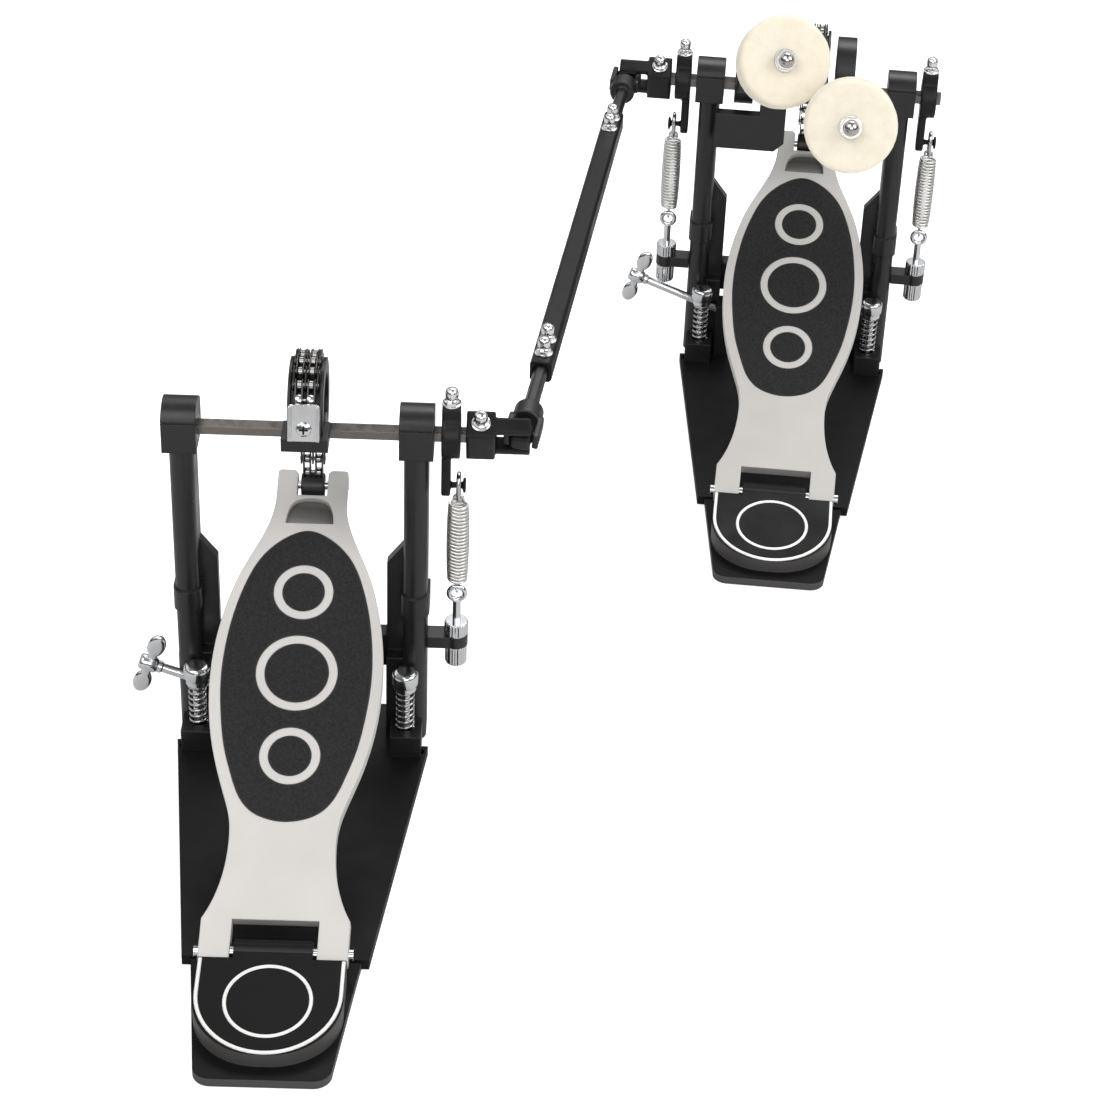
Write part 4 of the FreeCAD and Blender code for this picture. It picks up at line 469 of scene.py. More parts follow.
def add_chain(pedal, place):
    """Three stretches of chain, on the cam, peeling from it and running to the toe, and the toe barrel."""
    wrap_pins = [wheel_pin(PEEL_LINKS + k) for k in range(WRAP_LINKS + 1)]
    wrap = chain_piece(pedal + "_chain_wrap_links", wrap_pins, True, False, pedal + "_shaft", place)
    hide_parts(pedal + "_chain_wrap")
    peel_pins = [wheel_pin(k) for k in range(PEEL_LINKS, -1, -1)]
    peel = chain_piece(pedal + "_chain_peel_links", peel_pins, False, True, pedal + "_peel", place)
    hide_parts(pedal + "_chain_peel")
    top = wheel_pin(0)
    gap = math.hypot(TOE[0] - top[0], TOE[1] - top[1])
    step = ((TOE[0] - top[0]) / gap * CHAIN_PITCH, (TOE[1] - top[1]) / gap * CHAIN_PITCH)
    run_pins = [(top[0] + step[0] * k, top[1] + step[1] * k) for k in range(RUN_LINKS + 1)]
    run = chain_piece(pedal + "_chain_run_links", run_pins, True, False, pedal + "_run", place)
    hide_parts(pedal + "_chain_run")
    barrel = lathe_mesh(BARREL_SHAPE, BARREL_SIDES, (TOE_X, TOE[0], TOE[1]), X_AXIS)
    to_object(pedal + "_toe_barrel", *barrel, BLACK, pedal + "_run", place, split=40)


# Clip plate with softened corners and two raised rims, knobs on the last chain pin, a cross-slotted screw
# whose slot is a black cross of painted shade.
# CLIP_FACE is the distance of the plate's outer face from the cam's middle.
CLIP_WIDE, CLIP_TALL, CLIP_THICK, CLIP_CORNER, CLIP_BEVEL = 16.6, 20.0, 2.0, 2.4, 0.5
CLIP_OVERLAP, CLIP_FACE = 3.0, 21.5 + 9.4
RIM_HALF, RIM_INSET, RIM_SHORT, RIM_CORNER, RIM_SINK = 1.0, 1.2, 0.5, 0.5, 0.3
RIM_THICK, RIM_BEVEL = 1.9, 0.4
KNOB_ROWS, KNOB_SIDES = (-5.2, 0.6), 24
KNOB_SHAPE = ((2.0, 0), (3.0, 0.5), (3.3, 1.4), (3.3, 3.2), (3.0, 4.1), (2.0, 4.6))
SCREW_DOWN, SCREW_SIDES = 3.0, 28
SCREW_SHAPE = ((3.8, 0), (4.0, 0.3), (3.8, 0.9), (2.9, 1.35), (1.4, 1.58), (0.02, 1.6))
SLOT_LONG, SLOT_NARROW, SLOT_CORNER, SLOT_THICK, SLOT_BEVEL, SLOT_LIFT = 2.3, 0.5, 0.2, 0.5, 0.05, 1.2


def add_clip(pedal, place):
    """Clip at the end of the chain on the cam, with its rims, knobs and screw."""
    shaft = pedal + "_shaft"
    last_step = PEEL_LINKS + WRAP_LINKS
    reach = CLIP_TALL / 2 + LINK_RADIUS - CLIP_OVERLAP
    turn = last_step * LINK_TURN + reach / CHAIN_RADIUS
    outward = Vector((0, math.cos(turn), math.sin(turn)))
    along = Vector((0, math.sin(turn), -math.cos(turn)))
    spot = Vector((TOE_X, CAM_MIDDLE[0], CAM_MIDDLE[1])) + outward * CLIP_FACE
    outline = rounded_box_outline(CLIP_WIDE / 2, CLIP_TALL / 2, CLIP_CORNER)
    clip = plate_mesh(outline, CLIP_THICK, CLIP_BEVEL, spot - outward * CLIP_THICK, X_AXIS, along, outward)
    to_object(pedal + "_chain_clip_plate", *clip, BOLT, shaft, place, split=40)
    rims = []
    outline = rounded_box_outline(RIM_HALF, CLIP_TALL / 2 - RIM_SHORT, RIM_CORNER, steps=3)
    for side in (-1, 1):
        edge = spot + X_AXIS * (side * (CLIP_WIDE / 2 - RIM_INSET)) - outward * RIM_SINK
        rims.append(plate_mesh(outline, RIM_THICK, RIM_BEVEL, edge, X_AXIS, along, outward))
    last_pin = wheel_pin(last_step)
    for row in KNOB_ROWS:
        rims.append(lathe_mesh(KNOB_SHAPE, KNOB_SIDES, (TOE_X + row, last_pin[0], last_pin[1]), X_AXIS))
    to_object(pedal + "_chain_clip_rims", *joined(rims), CHROME, shaft, place, split=40)
    spot = spot - along * SCREW_DOWN
    head = lathe_mesh(SCREW_SHAPE, SCREW_SIDES, spot, outward)
    to_object(pedal + "_clip_screw_head", *head, CHROME, shaft, place, split=50)
    # Painted shade: the cross slot is a thin black cross set on the screw head.
    slot_shades = []
    for half_u, half_v in ((SLOT_LONG, SLOT_NARROW), (SLOT_NARROW, SLOT_LONG)):
        outline = rounded_box_outline(half_u, half_v, SLOT_CORNER, steps=2)
        slot_shades.append(plate_mesh(outline, SLOT_THICK, SLOT_BEVEL, spot + outward * SLOT_LIFT,
                                X_AXIS, along, outward))
    to_object(pedal + "_clip_screw_slot_shade", *joined(slot_shades), SLOT_PAINTED_SHADE, shaft, place, smooth=False)


for pedal, place in PEDALS:
    add_chain(pedal, place)
    add_clip(pedal, place)


# Felt heads: pressed discs with a soft edge and a slightly uneven rim.
# Each beater: name, hub's x, tilt and lean in degrees, way along the rod from axle to felt, body.
BEATERS = (("main", 24.2, 20.4, 0.0, 210.0, "main_shaft"), ("left", -39.0, 29.4, 6.8, 178.0, "left_shaft"))
FELT_RADIUS, FELT_THICK, FELT_BORE, FELT_EDGE, FELT_DISH = 26.5, 24.0, 4.1, 2.9, 0.35
FELT_FLAT = FELT_RADIUS - FELT_EDGE
FELT_SIDES, FACE_STEPS, BEND_STEPS = 96, 8, 6
FELT_SINK, FELT_EVEN_RADIUS = 0.2, 6
COARSE_SCALE, COARSE_PUSH, FINE_SCALE, FINE_PUSH = 0.35, 0.16, 1.3, 0.07


def felt_profile():
    """(radius, distance) pairs from the bore over one face, the rim and the other face."""
    profile = [(FELT_BORE, 0.0)]
    face = [k / FACE_STEPS for k in range(1, FACE_STEPS + 1)]
    bends = [math.radians(90 * k / BEND_STEPS) for k in range(1, BEND_STEPS + 1)]
    wide = FELT_FLAT - FELT_BORE
    profile += [(FELT_BORE + wide * share, FELT_DISH - FELT_DISH * share) for share in face]
    profile += [(FELT_FLAT + FELT_EDGE * math.sin(bend), FELT_EDGE - FELT_EDGE * math.cos(bend))
                for bend in bends]
    profile += [(FELT_RADIUS, FELT_EDGE + (FELT_THICK - 2 * FELT_EDGE) * share) for share in face]
    profile += [(FELT_FLAT + FELT_EDGE * math.cos(bend), FELT_THICK - FELT_EDGE + FELT_EDGE * math.sin(bend))
                for bend in bends]
    profile += [(FELT_FLAT - wide * share, FELT_THICK - FELT_DISH * share) for share in face]
    return profile


for word, hub_x, tilt, lean, back, body in BEATERS:
    tilt, lean = math.radians(tilt), math.radians(lean)
    along = Vector((math.sin(lean), -math.cos(tilt) * math.cos(lean), math.sin(tilt) * math.cos(lean)))
    start = Vector((hub_x, 0, AXLE_Z)) + along * back
    profile = felt_profile()
    verts, faces = lathe_mesh(profile, FELT_SIDES, start, along)
    top_row = (len(profile) - 1) * FELT_SIDES
    faces = faces[:-2]
    for k in range(FELT_SIDES):
        ahead = (k + 1) % FELT_SIDES
        faces.append((top_row + k, top_row + ahead, ahead, k))
    moved = []
    for v in verts:
        offset = v - start
        out = offset - along * offset.dot(along)
        push = noise.noise(v * COARSE_SCALE) * COARSE_PUSH + noise.noise(v * FINE_SCALE) * FINE_PUSH
        if out.length > FELT_EVEN_RADIUS:
            v = v + out.normalized() * (push - FELT_SINK)
        moved.append(v)
    felt = to_object(word + "_felt_head", moved, faces, FELT, body)
    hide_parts(word + "_beater_felt")


# Return springs: one wire each, hooked at both ends, stretching between eye and link.
# The hook at the eye is wider than the solid's and set toward the drum, which leaves room for the swing.
# STILL_BELOW and MOVED_ABOVE, both in metres, are heights near the eye and near the link; the wire is one
# fixed mesh that rides on no body.
WIRE, WIRE_SIDES = 0.8, 10
EYE_WIRE_Z, EYE_HOOK, EYE_SHIFT = 99.0 + 4.2, 3.0, 0.575
LINK_HOOK_Z, LINK_HOOK = 159.5, 2.5
COIL_LOW, COIL_TOP, COIL_BELLY, COIL_END, COIL_CURLS = 108.0, 157.0, 5.3, 4.4, 23
COIL_START, COIL_BARREL = math.radians(65.0), 0.5
COIL_STEPS, HOOK_STEPS = 20, 10
STILL_BELOW, MOVED_ABOVE = 0.104, 0.159


def spring_path():
    """Middle line of one return spring about its own upright axis."""
    points = []
    for k in range(HOOK_STEPS + 1):
        turn = math.pi * k / HOOK_STEPS
        points.append(Vector((0, EYE_SHIFT - EYE_HOOK * math.cos(turn),
                              EYE_WIRE_Z - EYE_HOOK * math.sin(turn))))
    first_x, first_y = COIL_END * math.cos(COIL_START), COIL_END * math.sin(COIL_START)
    points.append(points[-1] + Z_AXIS * ((COIL_LOW - EYE_WIRE_Z) / 2))
    points.append(Vector((first_x / 4, (first_y + points[-1].y) / 2 + first_x / 4, COIL_LOW - WIRE)))
    count = COIL_CURLS * COIL_STEPS
    for k in range(count + 1):
        share = k / count
        turn = COIL_START - 2 * math.pi * COIL_CURLS * share
        radius = COIL_END + (COIL_BELLY - COIL_END) * math.sin(math.pi * share) ** COIL_BARREL
        points.append(Vector((radius * math.cos(turn), radius * math.sin(turn),
                              COIL_LOW + (COIL_TOP - COIL_LOW) * share)))
    aim = X_AXIS
    side = aim * LINK_HOOK
    middle = (points[-1] + side) / 2 + aim * (WIRE / 2)
    points.append(Vector((middle.x, middle.y, COIL_TOP + WIRE)))
    points.append(Vector((side.x, side.y, (COIL_TOP + WIRE + LINK_HOOK_Z) / 2)))
    for k in range(HOOK_STEPS + 1):
        turn = math.pi * k / HOOK_STEPS
        points.append(side * math.cos(turn) + Z_AXIS * (LINK_HOOK_Z + LINK_HOOK * math.sin(turn)))
    return points


SPRINGS = (("main_right", SPRING_X, MAIN_PLACE), ("main_left", -SPRING_X, MAIN_PLACE),
           ("slave", SPRING_X, SLAVE_PLACE))
for word, x, place in SPRINGS:
    path = [p + X_AXIS * x for p in spring_path()]
    wire = tube_mesh(path, WIRE, WIRE_SIDES)
    spring = to_object(word + "_spring_wire", *wire, SPRING_STEEL, None, place)
    start = place @ Vector((x * MM, 0, STILL_BELOW))
    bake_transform(spring)
    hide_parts(word + "_spring")


# Knurled nuts of the spring tensioners: (radius, height) pairs of the upper and the lower nut.
NUT_RIDGES, NUT_DEPTH = 24, 0.4
NUTS = (((5.6, 73.05), (6.5, 73.7), (6.5, 80.3), (5.9, 81.2), (2.6, 81.25)),
        ((4.2, 53.6), (5.3, 53.9), (5.9, 54.9), (5.9, 65.3), (5.4, 65.95)))


def ridged_mesh(profile, ridges, depth, middle, along):
    """Turned piece with fine ridges round it."""
    verts, faces = lathe_mesh(profile, 2 * ridges, middle, along)
    middle, along = Vector(middle), Vector(along).normalized()
    cut = []
    for index, v in enumerate(verts):
        if index % 2:
            out = v - middle
            out = out - along * out.dot(along)
            v = v - out.normalized() * depth
        cut.append(v)
    return cut, faces


for word, x, place in SPRINGS:
    nuts = [ridged_mesh(profile, NUT_RIDGES, NUT_DEPTH, (x, 0, 0), Z_AXIS) for profile in NUTS]
    to_object(word + "_tension_nuts", *joined(nuts), CHROME, "frame", place, split=24)


# Key bolts: a flange, a collar and a waisted head with a domed top, set where the solids' bolts are.
BOLT_TALL, BOLT_SIDES = 10.0, 32
BOLT_SHAPE = ((4.7, 0.0), (5.0, 0.3), (4.9, 1.0), (4.2, 1.3), (4.1, 2.6), (3.1, 3.2), (2.7, 3.7), (3.2, 4.3),
              (3.5, 5.2), (3.5, 7.4), (3.1, 8.7), (2.3, 9.5), (1.1, 9.9), (0.02, 10.0))
BOLT_BODIES = (("main_key_bolts", "main_shaft"), ("left_key_bolts", "left_shaft"),
               ("slave_key_bolts", "slave_shaft"), ("shaft_key_bolts", "drive_shaft"))
WELD_DECIMALS = 2
AXIS_GUESS, AXIS_ROUNDS = (0.3, 0.5, 1.0), 80
END_BAND = 0.5


def separate_shells(obj):
    """Points of each separate shell of a node, in millimetres."""
    spots, group = [], {}
    for vert in obj.data.vertices:
        spot = obj.matrix_world @ vert.co / MM
        spots.append(tuple(round(value, WELD_DECIMALS) for value in spot))

    def root(key):
        while group.setdefault(key, key) != key:
            key = group[key]
        return key

    for edge in obj.data.edges:
        first, second = root(spots[edge.vertices[0]]), root(spots[edge.vertices[1]])
        group[first] = second
    shells = {}
    for key in list(group):
        shells.setdefault(root(key), []).append(Vector(key))
    return shells.values()


def bolt_lines(obj):
    """Foot and direction of each bolt in a node; the direction is toward the narrower end."""
    lines = []
    for points in separate_shells(obj):
        middle = sum(points, Vector()) / len(points)
        spread = Matrix(((0, 0, 0), (0, 0, 0), (0, 0, 0)))
        for point in points:
            off = point - middle
            spread = spread + Matrix([[a * b for b in off] for a in off])
        along = Vector(AXIS_GUESS)
        for _ in range(AXIS_ROUNDS):
            along = (spread @ along).normalized()
        reach = [(point - middle).dot(along) for point in points]
        width = [((point - middle) - along * r).length for point, r in zip(points, reach)]
        low = max(w for w, r in zip(width, reach) if r < min(reach) + END_BAND)
        high = max(w for w, r in zip(width, reach) if r > max(reach) - END_BAND)
        if low > high:
            along, reach = -along, [-r for r in reach]
        lines.append((middle + along * (max(reach) - BOLT_TALL), along))
    return lines


bpy.context.view_layer.update()
for node_name, body in BOLT_BODIES:
    lines = bolt_lines(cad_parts[node_name])
    heads = [lathe_mesh(BOLT_SHAPE, BOLT_SIDES, foot, along) for foot, along in lines]
    bolts = to_object(node_name + "_heads", *joined(heads), BOLT, body, split=40)
    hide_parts(node_name)


# Floor spurs: flat round caps that ride with the spurs, and springs of wound wire on no body.
CAP_SIDES = 40
CAP_SHAPE = ((6.05, 50.0), (6.7, 50.3), (7.0, 51.0), (7.0, 55.8), (6.75, 57.1), (6.1, 58.0), (5.2, 58.45),
             (3.0, 58.55), (0.02, 58.6))
SPUR_COIL_RADIUS, SPUR_COIL_LOW, SPUR_COIL_TOP = 4.5, 20.3, 46.7
SPUR_CURLS, SPUR_STEPS, SPUR_WIRE = 7, 24, 0.7


def spur_coil_path(x):
    """Middle line of one spur spring."""
    points = []
    count = SPUR_CURLS * SPUR_STEPS
    for k in range(count + 1):
        share = k / count
        turn = 2 * math.pi * SPUR_CURLS * share
        across = SPUR_COIL_RADIUS * math.cos(turn)
        ahead = SPUR_COIL_RADIUS * math.sin(turn)
        height = SPUR_COIL_LOW + (SPUR_COIL_TOP - SPUR_COIL_LOW) * share
        points.append(Vector((x + across, SPUR_Y + ahead, height)))
    return points


for pedal, place in PEDALS:
    caps = [lathe_mesh(CAP_SHAPE, CAP_SIDES, (side * SPUR_X, SPUR_Y, 0), Z_AXIS) for side in (-1, 1)]
    to_object(pedal + "_spur_caps", *joined(caps), CHROME, pedal + "_floor_spurs", place, split=50)
for pedal, place in PEDALS:
    coils = [tube_mesh(spur_coil_path(side * SPUR_X), SPUR_WIRE, WIRE_SIDES) for side in (-1, 1)]
    spring = to_object(pedal + "_spur_spring_wires", *joined(coils), STEEL, None, place)
    start = place @ Vector((0, 0, SPUR_COIL_LOW * MM))
    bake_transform(spring)
    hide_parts("spur_springs")


# Wing screws: a turned rod and hub with two rounded paddles.
WING_SLOPE = math.radians(20.6)
WING_MIDDLE = Vector((-60.5, -8.6, 44.0))
WING_OUT = (37.0, 18.0)
WING_HUB = ((3.2, -11.0), (4.1, -10.4), (4.4, -9.4), (4.4, -2.4), (3.9, -1.4), (3.4, -1.0), (3.4, 1.2),
            (2.6, 2.0))
WING_ROD, WING_TIP, WING_ROD_END, WING_TIP_END = 2.6, 2.0, 35.4, 36.0
WING_SIDES, BLADE_BACK = 32, 5.5
# Each blade part: distance from the hub, and its half width, half length and half thickness.
BLADE_PARTS = ((5.6, (2.6, 5.0, 1.7)), (12.4, (4.9, 7.4, 1.9)))
PADDLE_ROWS, PADDLE_ROUND = 13, 0.4


def paddle_mesh(middle, across, along, out, sizes):
    """Flattened rounded blade; sizes are its half width, half length and half thickness."""
    verts = []
    for row in range(PADDLE_ROWS):
        lift = math.pi * (row + 0.5) / PADDLE_ROWS - math.pi / 2
        share = math.cos(lift) ** PADDLE_ROUND
        level = middle + out * (sizes[2] * math.sin(lift))
        verts.extend(ring_points(level, across * sizes[0], along * sizes[1], share, WING_SIDES))
    return verts, ring_faces(PADDLE_ROWS, WING_SIDES)


for (pedal, place), out_by in zip(PEDALS, WING_OUT):
    along = Vector((math.cos(WING_SLOPE), 0, -math.sin(WING_SLOPE)))
    across = Vector((math.sin(WING_SLOPE), 0, math.cos(WING_SLOPE)))
    outer = WING_MIDDLE - along * out_by
    hub = outer - along * BLADE_BACK
    profile = (*WING_HUB, (WING_ROD, out_by + WING_ROD_END), (WING_TIP, out_by + WING_TIP_END))
    blades = [lathe_mesh(profile, WING_SIDES, outer, along)]
    for way in (-1, 1):
        for distance, sizes in BLADE_PARTS:
            blades.append(paddle_mesh(hub + across * (way * distance), along, across, Y_AXIS, sizes))
    wing = to_object(pedal + "_wing_screw", *joined(blades), CHROME, pedal + "_wing", place, split=40)
    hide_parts(pedal + "_wing_bolt")


# Painted shade: a dark grey sheet on the floor of the dished recess at the toe, darkest toward the toe, with
# a paler painted reflection at the heel end.
DISH_LOW, DISH_HALF, DISH_TALL, DISH_FLOOR = BOARD_LENGTH - 25.4, 12.6, 15.0, 0.5 + 0.05
DISH_THICK, DISH_BEVEL = 0.5, 0.1
DISH_RIGHT = [(0.0, 0.02), (0.97, 0.02), (0.96, 0.24), (0.92, 0.45), (0.84, 0.65), (0.72, 0.81),
              (0.56, 0.91), (0.38, 0.96), (0.19, 0.98), (0.0, 0.985)]
DISH_SHAPE = DISH_RIGHT + [(-u, v) for u, v in reversed(DISH_RIGHT[1:-1])]
for pedal, place in PEDALS:
    outline = []
    for u, v in DISH_SHAPE:
        way = DISH_LOW + v * DISH_TALL
        outline.append((u * DISH_HALF + BOARD_SKEW * way, way))
    along = Vector((0, math.cos(BOARD_TURN), math.sin(BOARD_TURN)))
    out = Vector((0, -math.sin(BOARD_TURN), math.cos(BOARD_TURN)))
    origin = Vector((HEEL_X, HINGE[0], HINGE[1])) + out * DISH_FLOOR
    dish_shade_sheet = plate_mesh(outline, DISH_THICK, DISH_BEVEL, origin, X_AXIS, along, out)
    to_object(pedal + "_dish_floor", *dish_shade_sheet, DISH_PAINTED_SHADE, pedal + "_board", place, split=40)


# Heel plate trim: a raised silver line round the top and a plain ring.
HEEL_BACK_Y, HEEL_BACK_Z, HEEL_SLOPE = -320.8, 4.0, 0.15033
LINE_HALF, LINE_BACK, LINE_FRONT, LINE_WIDE, LINE_TALL, LINE_STEPS = 35.2, -261.7, -206.2, 2.0, 0.5, 32
RING_RADIUS, RING_Y, RING_WIDE, RING_TALL, RING_STEPS = 21.0, -231.0, 1.9, 0.35, 72
# Section of a line: share of its width, share of its height.
STRIP_SECTION = ((-0.5, 0.0), (-0.36, 1.0), (0.36, 1.0), (0.5, 0.0))


def heel_z(y):
    """Height of the heel's sloped top."""
    return HEEL_BACK_Z + HEEL_SLOPE * (y - HEEL_BACK_Y)


def strip_mesh(path, width, height, closed):
    """Low flat-topped line along (x, y) points on the heel's sloped top."""
    count = len(path)
    size = len(STRIP_SECTION)
    verts, faces = [], []
    for index in range(count):
        before = path[(index - 1) % count if closed else max(index - 1, 0)]
        after = path[(index + 1) % count if closed else min(index + 1, count - 1)]
        way = Vector((after[0] - before[0], after[1] - before[1])).normalized()
        side = Vector((-way.y, way.x))
        for offset, rise in STRIP_SECTION:
            x = path[index][0] + side.x * width * offset
            y = path[index][1] + side.y * width * offset
            verts.append(Vector((x, y, heel_z(y) + height * rise)))
    last = count if closed else count - 1
    for index in range(last):
        a = index * size
        b = ((index + 1) % count) * size
        for k in range(size - 1):
            faces.append((a + k, a + k + 1, b + k + 1, b + k))
    return verts, faces


def arc_points(radius, y, start, sweep, steps):
    """(x, y) points of an arc about the heel's middle line, with both ends."""
    turns = [start + sweep * k / steps for k in range(steps + 1)]
    return [(HEEL_X + radius * math.cos(turn), y + radius * math.sin(turn)) for turn in turns]


for pedal, place in PEDALS:
    bend = arc_points(LINE_HALF, LINE_BACK + LINE_HALF, math.pi, math.pi, LINE_STEPS)
    rim = [(HEEL_X - LINE_HALF, LINE_FRONT), *bend, (HEEL_X + LINE_HALF, LINE_FRONT)]
    line = strip_mesh(rim, LINE_WIDE, LINE_TALL, False)
    to_object(pedal + "_heel_line", *line, LINE_SILVER, "frame", place, split=40)
    circle = arc_points(RING_RADIUS, RING_Y, 0.0, 2 * math.pi, RING_STEPS)[:-1]
    ring = strip_mesh(circle, RING_WIDE, RING_TALL, True)
    to_object(pedal + "_heel_ring", *ring, LINE_SILVER, "frame", place, split=40)


# Finishes of the solids, by the longest ending that fits a node's name.
NODE_SPLIT = 32
FINISH = {
    "base_plate": BLACK_PLATE, "heel_plate": HEEL, "upright": BLACK, "footboard": BOARD, "grip_pad": GRIP,
    "toe_pin": CHROME, "cam": BLACK, "axle": NICKEL, "rocker": BLACK_SOFT, "yoke": BLACK_SOFT,
    "key_bolts": BOLT, "wing_bolt": CHROME, "spurs": CHROME, "spur_springs": STEEL, "hook": STEEL,
    "hinge_pins": CHROME, "bearings": NICKEL, "bridges": BLACK_SOFT, "spring_arms": BLACK,
    "spring_tensioners": CHROME, "hoop_jaw": BLACK, "bracket": BLACK, "beater_hub": BLACK,
    "beater_rod": ROD_CHROME, "shaft_rods": BLACK, "shaft_tube": BLACK_TUBE, "beater_felt": FELT,
    "chain_wrap": CHAIN_DARK, "chain_peel": CHAIN_DARK, "chain_run": CHAIN_DARK, "spring": STEEL,
}
for name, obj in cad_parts.items():
    key = max((k for k in FINISH if name.endswith(k)), key=len)
    obj.data.materials.clear()
    obj.data.materials.append(FINISH[key])
    for poly in obj.data.polygons:
        poly.use_smooth = True
    obj.data.set_sharp_from_angle(angle=math.radians(NODE_SPLIT))

# Cast pieces: the solids' shapes in an even fine mesh, smoothed so that the edges are round.
CAST_GRID, CAST_FACTOR, CAST_ROUNDS = 0.0005, 0.5, 14
CAST_PIECES = (("main_right_rocker", "main_shaft"), ("main_left_rocker", "left_shaft"),
               ("slave_rocker", "slave_shaft"), ("main_yoke", "left_shaft"), ("slave_yoke", "slave_shaft"),
               ("shaft_rods", "drive_shaft"))
for node_name, body in CAST_PIECES:
    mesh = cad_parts[node_name].data.copy()
    mesh.name = node_name + "_cast"
    cast = bpy.data.objects.new(node_name + "_cast", mesh)
    bpy.context.collection.objects.link(cast)
    even = cast.modifiers.new("even_mesh", "REMESH")
    even.mode = "VOXEL"
    even.voxel_size = CAST_GRID
    even.use_smooth_shade = True
    rounded = cast.modifiers.new("round_edges", "SMOOTH")
    rounded.factor = CAST_FACTOR
    rounded.iterations = CAST_ROUNDS
    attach(cast, body)
    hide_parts(node_name)

# Floor, light and camera, in metres.
FLOOR_CORNERS = [(-6, -6, 0), (6, -6, 0), (6, 9, 0), (-6, 9, 0)]
FLOOR_Z = -0.0006
FLOOR_ROUGH, FLOOR_PALE, FLOOR_MIRRORED, FLOOR_GLOW = 0.9, 0.86, 0.62, 0.62
WORLD_DIFFUSE, WORLD_SEEN = 0.48, 1.0
# Greys that metal mirrors, by height: 0 is level and 1 is straight up.
WORLD_BANDS = ((0.0, 0.05), (0.16, 0.04), (0.34, 0.35), (0.48, 0.85), (0.64, 0.95),
               (0.75, 0.40), (1.0, 0.22))
WHITE = (1, 1, 1, 1)


def pale_floor():
    """Pale floor that keeps the shadow, glows to the camera and mirrors darker in gloss."""
    mesh = bpy.data.meshes.new("floor")
    mesh.from_pydata(FLOOR_CORNERS, [], [(0, 1, 2, 3)])
    floor = bpy.data.objects.new("floor", mesh)
    floor.location.z = FLOOR_Z
    bpy.context.collection.objects.link(floor)
    mat = bpy.data.materials.new("pale_floor")
    mat.use_nodes = True
    nodes, links = mat.node_tree.nodes, mat.node_tree.links
    shader = nodes["Principled BSDF"]
    shader.inputs["Roughness"].default_value = FLOOR_ROUGH
    shader.inputs["Specular IOR Level"].default_value = 0.0
    path = nodes.new("ShaderNodeLightPath")
    shade = map_range(nodes, (0.0, 1.0), (FLOOR_PALE, FLOOR_MIRRORED))
    links.new(path.outputs["Is Glossy Ray"], shade.inputs["Value"])
    links.new(shade.outputs["Result"], shader.inputs["Base Color"])
    glow = nodes.new("ShaderNodeMath")
    glow.operation = "MULTIPLY"
    glow.inputs[1].default_value = FLOOR_GLOW
    links.new(path.outputs["Is Camera Ray"], glow.inputs[0])
    shader.inputs["Emission Color"].default_value = WHITE
    links.new(glow.outputs[0], shader.inputs["Emission Strength"])
    mesh.materials.append(mat)


def larger_of(nodes, links, first, second):
    """Output that is the larger of two values."""
    larger = nodes.new("ShaderNodeMath")
    larger.operation = "MAXIMUM"
    links.new(first, larger.inputs[0])
    links.new(second, larger.inputs[1])
    return larger.outputs[0]


def white_world():
    """White to the camera, even soft light on surfaces, and banded grey where metal mirrors it."""
    world = bpy.data.worlds.new("studio")
    bpy.context.scene.world = world
    world.use_nodes = True
    nodes, links = world.node_tree.nodes, world.node_tree.links
    back = nodes["Background"]
    path = nodes.new("ShaderNodeLightPath")
    coords = nodes.new("ShaderNodeTexCoord")
    split = nodes.new("ShaderNodeSeparateXYZ")
    links.new(coords.outputs["Generated"], split.inputs["Vector"])
    ramp = grey_ramp(nodes, WORLD_BANDS, WHITE)
    links.new(split.outputs["Z"], ramp.inputs["Fac"])
    mix = nodes.new("ShaderNodeMixRGB")
    mix.inputs["Color1"].default_value = WHITE
    links.new(path.outputs["Is Glossy Ray"], mix.inputs["Fac"])
    links.new(ramp.outputs["Color"], mix.inputs["Color2"])
    links.new(mix.outputs["Color"], back.inputs["Color"])
    seen = larger_of(nodes, links, path.outputs["Is Camera Ray"], path.outputs["Is Transmission Ray"])
    either = larger_of(nodes, links, seen, path.outputs["Is Glossy Ray"])
    level = map_range(nodes, (0.0, 1.0), (WORLD_DIFFUSE, WORLD_SEEN))
    links.new(either, level.inputs["Value"])
    links.new(level.outputs["Result"], back.inputs["Strength"])


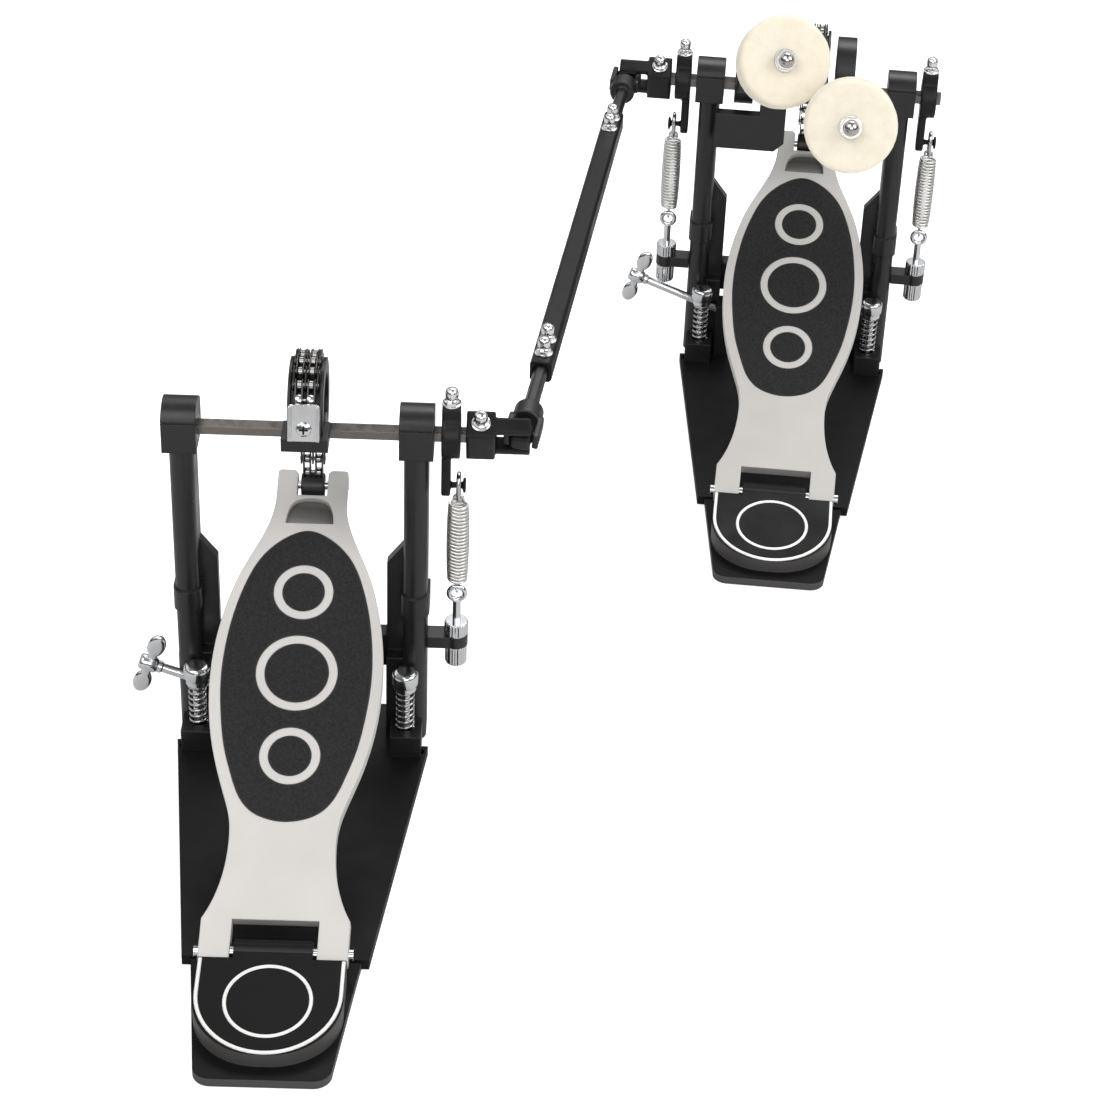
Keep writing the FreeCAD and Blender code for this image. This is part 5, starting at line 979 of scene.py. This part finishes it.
def soft_lamp(name, spot, aim, size, power):
    """Rectangular area lamp at a spot, turned toward its aim."""
    lamp = bpy.data.lights.new(name, "AREA")
    lamp.shape = "RECTANGLE"
    lamp.size, lamp.size_y = size
    lamp.energy = power
    obj = bpy.data.objects.new(name, lamp)
    obj.location = spot
    obj.rotation_euler = (Vector(aim) - Vector(spot)).to_track_quat("-Z", "Y").to_euler()
    bpy.context.collection.objects.link(obj)


# Camera fitted to the photograph.
CAMERA_AT = (-0.02267, -1.6965, 0.994636)
CAMERA_DOWN, CAMERA_HEADING, CAMERA_ROLL = math.radians(34.514), math.radians(3.416), math.radians(2.776)
CAMERA_SENSOR, CAMERA_LENS = 36.0, 94.61
CAMERA_SHIFT_X, CAMERA_SHIFT_Y = -0.03545, 0.00354
CAMERA_FAR = 50.0


def photo_camera():
    """Camera at the photograph's place and angle."""
    level = math.cos(CAMERA_DOWN)
    ahead = Vector((-math.sin(CAMERA_HEADING) * level, math.cos(CAMERA_HEADING) * level,
                    -math.sin(CAMERA_DOWN)))
    right = Vector((math.cos(CAMERA_HEADING), math.sin(CAMERA_HEADING), 0))
    up = right.cross(ahead)
    side = right * math.cos(CAMERA_ROLL) + up * math.sin(CAMERA_ROLL)
    top = up * math.cos(CAMERA_ROLL) - right * math.sin(CAMERA_ROLL)
    camera = bpy.data.cameras.new("photo_camera")
    camera.sensor_width = CAMERA_SENSOR
    camera.lens = CAMERA_LENS
    camera.shift_x = CAMERA_SHIFT_X
    camera.shift_y = CAMERA_SHIFT_Y
    camera.clip_end = CAMERA_FAR
    obj = bpy.data.objects.new("photo_camera", camera)
    turn = Matrix((side, top, -ahead)).transposed().to_4x4()
    obj.matrix_world = Matrix.Translation(CAMERA_AT) @ turn
    bpy.context.collection.objects.link(obj)
    bpy.context.scene.camera = obj


pale_floor()
white_world()
soft_lamp("key", spot=(-0.9, -1.2, 2.0), aim=(-0.1, -0.2, 0.1), size=(1.3, 1.3), power=15)
soft_lamp("fill", spot=(1.4, -0.8, 1.4), aim=(0.0, -0.1, 0.1), size=(1.0, 1.4), power=13)
soft_lamp("back", spot=(0.2, 1.2, 2.2), aim=(-0.1, -0.2, 0.1), size=(1.6, 1.0), power=21)
soft_lamp("front", spot=(0.3, -2.4, 1.1), aim=(-0.1, -0.2, 0.1), size=(1.6, 1.0), power=11)
photo_camera()
bpy.context.scene.view_settings.view_transform = "Standard"
